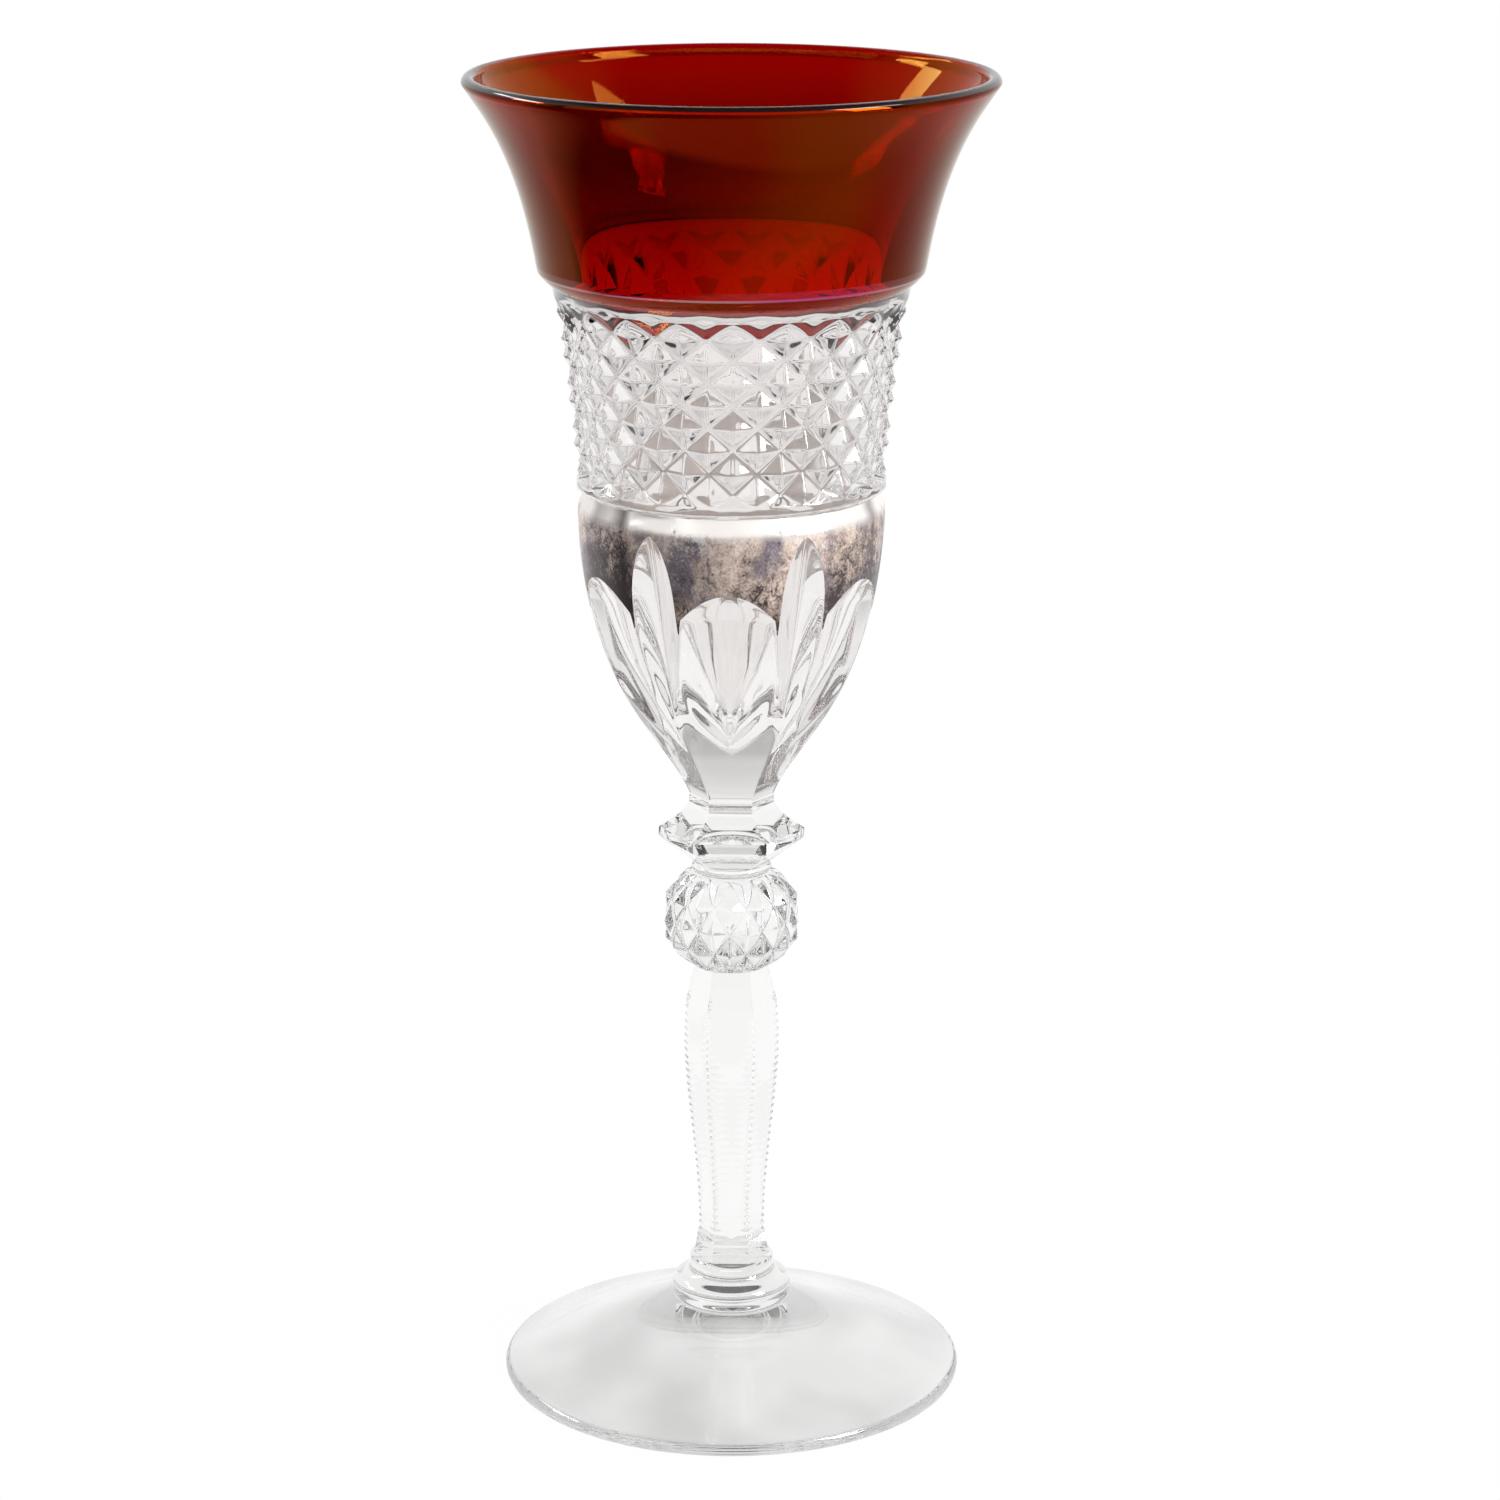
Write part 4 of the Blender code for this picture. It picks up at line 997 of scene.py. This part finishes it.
class GLASS_OT_neck_wafer(bpy.types.Operator):
    """Build the round wafer of glass between the collar and the knop"""

    bl_idname = "glass.neck_wafer"
    bl_label = "Neck wafer"

    def execute(self, context):
        hair = context.scene.glass_sizes.joint_hair
        base, top = joint_levels("diamond_knop", "neck_wafer", "hex_collar", hair)
        half = (top - base) / 2
        edge = arc((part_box("neck_wafer")[1].x - half, base + half), half, 90, -90, 13)
        rows, slots = fused_rows(top, WAFER_JOINT, edge, base, KNOP_JOINT)
        glass = clear_glass("wafer_crystal", wave_scale=90.0, wave_depth=0.00003)
        piece = skin("neck_wafer", rings_of(rows, even_angles(96)), slots, [glass, hot_joint()])
        hand_over(piece, "neck_wafer")
        return {"FINISHED"}


class GLASS_OT_diamond_knop(bpy.types.Operator):
    """Build the diamond-cut ball knop"""

    bl_idname = "glass.diamond_knop"
    bl_label = "Diamond knop"

    def execute(self, context):
        sizes = context.scene.glass_sizes
        base, top = joint_levels("stem", "diamond_knop", "neck_wafer", sizes.joint_hair)
        low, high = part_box("diamond_knop")
        half = (high.z - low.z) / 2
        middle = low.z + half
        reach = half / (1.0 - (KNOP_END / KNOP_WIDEST) ** KNOP_SQUARENESS) ** (1 / KNOP_SQUARENESS)
        angles = even_angles(192)
        pitch = (high.z - low.z) / KNOP_ROWS
        levels = np.linspace(top, base, KNOP_LEVELS)
        levels[1:-1] = np.linspace(high.z, low.z, KNOP_LEVELS)[1:-1]
        turned = np.floor((angles + pi / 2) * KNOP_COUNT / pi + 1e-6)
        lean = {}
        sides = []
        for above, below in zip(levels, np.append(levels[1:], base)):
            ball = 1.0 - abs((above - middle) / reach) ** KNOP_SQUARENESS
            ball = KNOP_WIDEST * ball ** (1 / KNOP_SQUARENESS) + np.zeros(len(angles))
            trim = KNOP_TRIM_BASE + (above - low.z) * (KNOP_TRIM_MIDDLE - KNOP_TRIM_BASE) / half
            if above != levels[-1]:
                lean[2 + len(sides)] = leaning(turned, above, below, low.z, pitch)
            sides.append((soft_min(ball, hexagon(trim, angles), KNOP_TRIM_ROUND), above))
        rows, slots = fused_rows(top, KNOP_JOINT, sides, base, hexagon(STEM_HEAD_JOINT, angles))
        glass = clear_glass("knop_crystal", wave_scale=120.0, wave_depth=0.00003)
        joint = hot_joint()
        piece = skin("diamond_knop", rings_of(rows, angles), slots, [glass, joint], lean=lean,
                     outside=[0.0, 0.0] + [1.0] * len(sides) + [0.0, 0.0])
        values = {"Count": float(KNOP_COUNT), "Pitch": pitch, "Depth": sizes.knop_depth,
                  "Turn": -pi / 2, "First": low.z, "Base": base, "Top": top,
                  "Base run-out": KNOP_RUN_OUT, "Top run-out": KNOP_RUN_OUT,
                  "Groove round": sizes.groove_round / 2, "Ridge round": sizes.ridge_round,
                  "Glass": glass, "Joint": joint, "Gilt": glass}
        run_tree(piece, diamond_cutting(), values, sharp=62.0)
        hand_over(piece, "diamond_knop")
        return {"FINISHED"}


class GLASS_OT_stem(bpy.types.Operator):
    """Build the hexagonal baluster stem with its notched corners"""

    bl_idname = "glass.stem"
    bl_label = "Stem"

    def execute(self, context):
        sizes = context.scene.glass_sizes
        low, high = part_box("stem")
        base, top = joint_levels("stem_button", "stem", "diamond_knop", sizes.joint_hair)
        swell = (STEM_SWELL, high.z - STEM_SWELL_DROP)
        waist = (STEM_WAIST, low.z + STEM_WAIST_RISE)
        path = chain(bend((STEM_HEAD, top), swell, STEM_TOP_BEND, 40),
                     bend(swell, waist, STEM_BODY_BEND, 60),
                     bend(waist, (STEM_END, base), STEM_BASE_BEND, 20))
        angles = hexagon_angles((0.0, 0.03, 0.07, 0.12, 0.3, 0.5, 0.7, 0.88, 0.93, 0.97))
        sides = [(hexagon(radius_at(path, level), angles), level) for level in np.linspace(top, base, 330)]
        rows, slots = fused_rows(top, hexagon(STEM_HEAD_JOINT, angles), sides,
                                 base, hexagon(STEM_FOOT_JOINT, angles))
        glass = clear_glass("stem_crystal", wave_scale=60.0, wave_depth=0.00006)
        joint = hot_joint()
        piece = skin("stem", rings_of(rows, angles), slots, [glass, joint])
        values = {"Pitch": sizes.notch_pitch, "Depth": sizes.notch_depth, "Width": 2 * sizes.notch_depth,
                  "Base": low.z + NOTCHES_RISE, "Top": high.z - NOTCHES_DROP,
                  "Glass": glass, "Joint": joint, "Gilt": glass}
        run_tree(piece, corner_notches(), values, sharp=35.0)
        hand_over(piece, "stem")
        return {"FINISHED"}


class GLASS_OT_stem_button(bpy.types.Operator):
    """Build the round stepped button under the stem"""

    bl_idname = "glass.stem_button"
    bl_label = "Stem button"

    def execute(self, context):
        low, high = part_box("stem_button")
        base, top = joint_levels("foot", "stem_button", "stem", context.scene.glass_sizes.joint_hair)
        seat_base = (BUTTON_SEAT, high.z - BUTTON_SEAT_DROP)
        edge = (high.x, low.z + BUTTON_EDGE_RISE)
        flare = chain([(BUTTON_SEAT - BUTTON_BEVEL, top), (BUTTON_SEAT, top - BUTTON_BEVEL), seat_base],
                      bend(seat_base, edge, BUTTON_BEND, 20),
                      bend(edge, (BUTTON_END, base), BUTTON_EDGE_BEND, 10))
        angles = even_angles(120)
        rows, slots = fused_rows(top, hexagon(STEM_FOOT_JOINT, angles), flare, base, FOOT_JOINT)
        glass = clear_glass("button_crystal", wave_scale=90.0, wave_depth=0.00004)
        piece = skin("stem_button", rings_of(rows, angles), slots, [glass, hot_joint()])
        hand_over(piece, "stem_button")
        return {"FINISHED"}


class GLASS_OT_foot(bpy.types.Operator):
    """Build the domed foot, hollow underneath"""

    bl_idname = "glass.foot"
    bl_label = "Foot"

    def execute(self, context):
        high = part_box("foot")[1]
        top = joint_level("foot", "stem_button") - context.scene.glass_sizes.joint_hair
        rest_outer = high.x - FOOT_HALF_EDGE
        dome = bend((FOOT_HEAD, top), (rest_outer, 2 * FOOT_HALF_EDGE), FOOT_BEND, 50)
        edge = arc((rest_outer, FOOT_HALF_EDGE), FOOT_HALF_EDGE, 90, -90, 13)
        hollow = bend((rest_outer - FOOT_RING_WIDTH, 0.0), (0.0, high.z - FOOT_THICKNESS),
                      FOOT_HOLLOW_BEND, 40)
        rows = [(0.0, top), (FOOT_JOINT, top)] + list(chain(dome, edge)) + list(hollow)
        slots = [FUSED] + [CLEAR] * (len(rows) - 2)
        # The foot's glass is darkened in soft clouds: painted shade, standing in for the shade seen through
        # the foot.
        glass = clear_glass("foot_crystal", wave_scale=36.0, wave_depth=0.00020, painted_shade=0.25)
        piece = skin("foot", rings_of(rows, even_angles(180)), slots, [glass, hot_joint()])
        hand_over(piece, "foot")
        return {"FINISHED"}


# The camera: its place in metres, its lens and sensor in millimetres, its shift as a share of the width.
CAMERA_PLACE = (0.01664, -0.63540, 0.27977)
CAMERA_PITCH = radians(15.73883)
CAMERA_TURN = radians(1.5)
CAMERA_LENS = 104.354
SENSOR_WIDTH = 36.0
CAMERA_SHIFT = 18.5 / 1500

# Softboxes: name, degrees round from the camera and up, then distance, width and height in metres, radiance.
SOFTBOXES = (
    ("strip_right", 69.0, 44.2, 1.213, 0.66, 0.15, 7.5),
    ("window_right", 62.0, 28.5, 1.14, 0.36, 0.60, 20.0),
    ("window_left", -99.0, 30.0, 0.98, 0.30, 0.14, 16.0),
    ("strip_left", -114.0, 35.5, 0.982, 0.62, 0.09, 9.0),
    ("card_front", 6.0, 26.0, 1.0, 1.70, 0.62, 1.1),
    ("card_left", -52.0, 26.0, 1.0, 0.72, 0.62, 1.0),
)
AIM_HEIGHT = 0.1

# The floor, and the white pool round the glass. Beyond the pool and in front of the back edge, the glass
# mirrors the floor darker.
FLOOR_RADIUS = 4.0
FLOOR_CORNERS = 48
FLOOR_DROP = 0.0001
POOL_CENTRE = (0.03, 0.04)
POOL_RADIUS = 0.165
DARK_BACK_EDGE = 0.12

# Brightness of the surround by height, as seen through the glass and as mirrored on it.
SKY = ((0.0, 0.62), (0.10, 0.86), (0.35, 0.60), (0.70, 0.22), (1.0, 0.10))
MIRRORED_SKY = ((0.0, 0.97), (0.45, 0.90), (0.70, 0.40), (0.85, 0.03), (1.0, 0.02))

# Tones of the backdrop and of the dark room behind the camera, how far each hides the sky, and where the
# backdrop ends as a share of the way up.
BACKDROP_TONE = 0.97
BACKDROP_SHARE = 0.60
BACKDROP_TOP = 0.60
ROOM_TONE = 0.03
ROOM_SHARE = 0.95

# How often light may bounce: in all and through glass, then off mirrors and through see-through faces.
BOUNCES = 48
MIRROR_BOUNCES = 40


def make_camera():
    data = bpy.data.cameras.new("camera")
    data.sensor_width = SENSOR_WIDTH
    data.lens = CAMERA_LENS
    data.shift_x = CAMERA_SHIFT
    camera = bpy.data.objects.new("camera", data)
    camera.location = CAMERA_PLACE
    camera.rotation_euler = (pi / 2 - CAMERA_PITCH, 0.0, CAMERA_TURN)
    bpy.context.scene.collection.objects.link(camera)
    bpy.context.scene.camera = camera


def make_softbox(name, turn, elevation, distance, width, height, radiance):
    """An area lamp that looks at the glass, hidden from the camera and from light bent through the glass."""
    data = bpy.data.lights.new(name, "AREA")
    data.shape = "RECTANGLE"
    data.size = width
    data.size_y = height
    data.energy = radiance * pi * width * height
    lamp = bpy.data.objects.new(name, data)
    turn, elevation = radians(turn), radians(elevation)
    lamp.location = (distance * cos(elevation) * sin(turn),
                     -distance * cos(elevation) * cos(turn), AIM_HEIGHT + distance * sin(elevation))
    lamp.rotation_euler = (pi / 2 - elevation, 0.0, turn)
    bpy.context.scene.collection.objects.link(lamp)
    lamp.visible_camera = False
    lamp.visible_transmission = False


def mirrored(graph):
    """Whether a ray comes straight from a reflection on an outer surface."""
    path = graph.node("ShaderNodeLightPath", output="Is Glossy Ray")
    return path * (1.0 - path.out("Is Transmission Ray"))


def make_floor(tint):
    """A floor that mostly glows, so that it reads as white, and is matt enough to keep a faint shadow."""
    mesh = bpy.data.meshes.new("floor")
    ring = rings_of([(FLOOR_RADIUS, -FLOOR_DROP)], even_angles(FLOOR_CORNERS))[0]
    mesh.from_pydata(ring.tolist(), [], [tuple(range(FLOOR_CORNERS))])
    floor = bpy.data.objects.new("floor", mesh)
    bpy.context.scene.collection.objects.link(floor)
    material, graph, place = new_material("floor")
    spots = graph.split(place)
    aside, back = spots - POOL_CENTRE[0], spots.out("Y") - POOL_CENTRE[1]
    dark = graph.clamp(((aside * aside + back * back) ** 0.5 - POOL_RADIUS) * 60.0)
    dark = dark * graph.clamp((DARK_BACK_EDGE - spots.out("Y")) * 8.0) * mirrored(graph)
    matt = graph.node("ShaderNodeBsdfDiffuse", None, {"Color": full(tint)})
    shade = graph.mix(graph.clamp(0.40 + 3.0 * spots), grey(0.02), grey(0.9))
    tone = graph.mix(dark, grey(1.0), shade)
    glow = graph.node("ShaderNodeEmission", None, {"Color": tone, "Strength": 1.0})
    graph.dress(graph.mix_shader(graph.clamp(0.92 + axis_distance(graph, spots) + dark), matt, glow))
    mesh.materials.append(material)


def make_world():
    """A white surround for the camera; the glass sees a backdrop, and dark overhead and behind the camera."""
    world = bpy.data.worlds.new("studio")
    bpy.context.scene.world = world
    world.use_nodes = True
    graph = Graph(world.node_tree)
    direction = graph.split(graph.node("ShaderNodeTexCoord", output="Generated"))
    away, height = direction.out("Y"), direction.out("Z")
    backdrop = graph.clamp((away - 0.1) * 5.0) * graph.clamp((BACKDROP_TOP - height) * 6.0)
    backdrop = backdrop * graph.clamp(height * 10.0) * BACKDROP_SHARE
    sky = graph.mix(backdrop, graph.ramp(height, SKY), grey(BACKDROP_TONE))
    sky = graph.mix(mirrored(graph), sky, graph.ramp(height, MIRRORED_SKY))
    behind = graph.clamp((0.0 - away - 0.05) * 5.0)
    sky = graph.mix(behind * ROOM_SHARE, sky, grey(ROOM_TONE))
    seen = graph.node("ShaderNodeLightPath", output="Is Camera Ray")
    tone = graph.mix(seen, sky, grey(1.0))
    surface = graph.node("ShaderNodeBackground", None, {"Color": tone, "Strength": 1.0})
    graph.node("ShaderNodeOutputWorld", None, {"Surface": surface})


class GLASS_OT_stage(bpy.types.Operator):
    """Set up the floor, the lamps, the surround and the camera"""

    bl_idname = "glass.stage"
    bl_label = "Stage"

    def execute(self, context):
        scene = context.scene
        make_floor(scene.glass_colours.floor)
        make_world()
        for softbox in SOFTBOXES:
            make_softbox(*softbox)
        make_camera()
        scene.view_settings.view_transform = "Standard"
        scene.cycles.max_bounces = BOUNCES
        scene.cycles.transmission_bounces = BOUNCES
        scene.cycles.glossy_bounces = MIRROR_BOUNCES
        scene.cycles.transparent_max_bounces = MIRROR_BOUNCES
        return {"FINISHED"}


OPERATORS = (
    GLASS_OT_foot,
    GLASS_OT_stem_button,
    GLASS_OT_stem,
    GLASS_OT_diamond_knop,
    GLASS_OT_neck_wafer,
    GLASS_OT_hex_collar,
    GLASS_OT_bowl,
    GLASS_OT_ruby_flash,
    GLASS_OT_silver_lustre,
    GLASS_OT_stage,
)


class GLASS_PT_panel(bpy.types.Panel):
    """Lists the glass's sizes, colours and pieces"""

    bl_idname = "GLASS_PT_panel"
    bl_label = "Champagne Glass"
    bl_space_type = "VIEW_3D"
    bl_region_type = "UI"
    bl_category = "Champagne Glass"

    def draw(self, context):
        for group in (context.scene.glass_sizes, context.scene.glass_colours):
            box = self.layout.box()
            for name in group.__annotations__:
                box.prop(group, name)
        for operator in OPERATORS:
            self.layout.operator(operator.bl_idname)


CLASSES = (GlassSizes, GlassColours) + OPERATORS + (GLASS_PT_panel,)


def register():
    for item in CLASSES:
        bpy.utils.register_class(item)
    bpy.types.Scene.glass_sizes = bpy.props.PointerProperty(type=GlassSizes)
    bpy.types.Scene.glass_colours = bpy.props.PointerProperty(type=GlassColours)


def unregister():
    del bpy.types.Scene.glass_colours
    del bpy.types.Scene.glass_sizes
    for item in reversed(CLASSES):
        bpy.utils.unregister_class(item)


def main():
    register()
    for operator in OPERATORS:
        family, name = operator.bl_idname.split(".")
        getattr(getattr(bpy.ops, family), name)()
    bpy.context.view_layer.update()


if __name__ == "__main__":
    main()
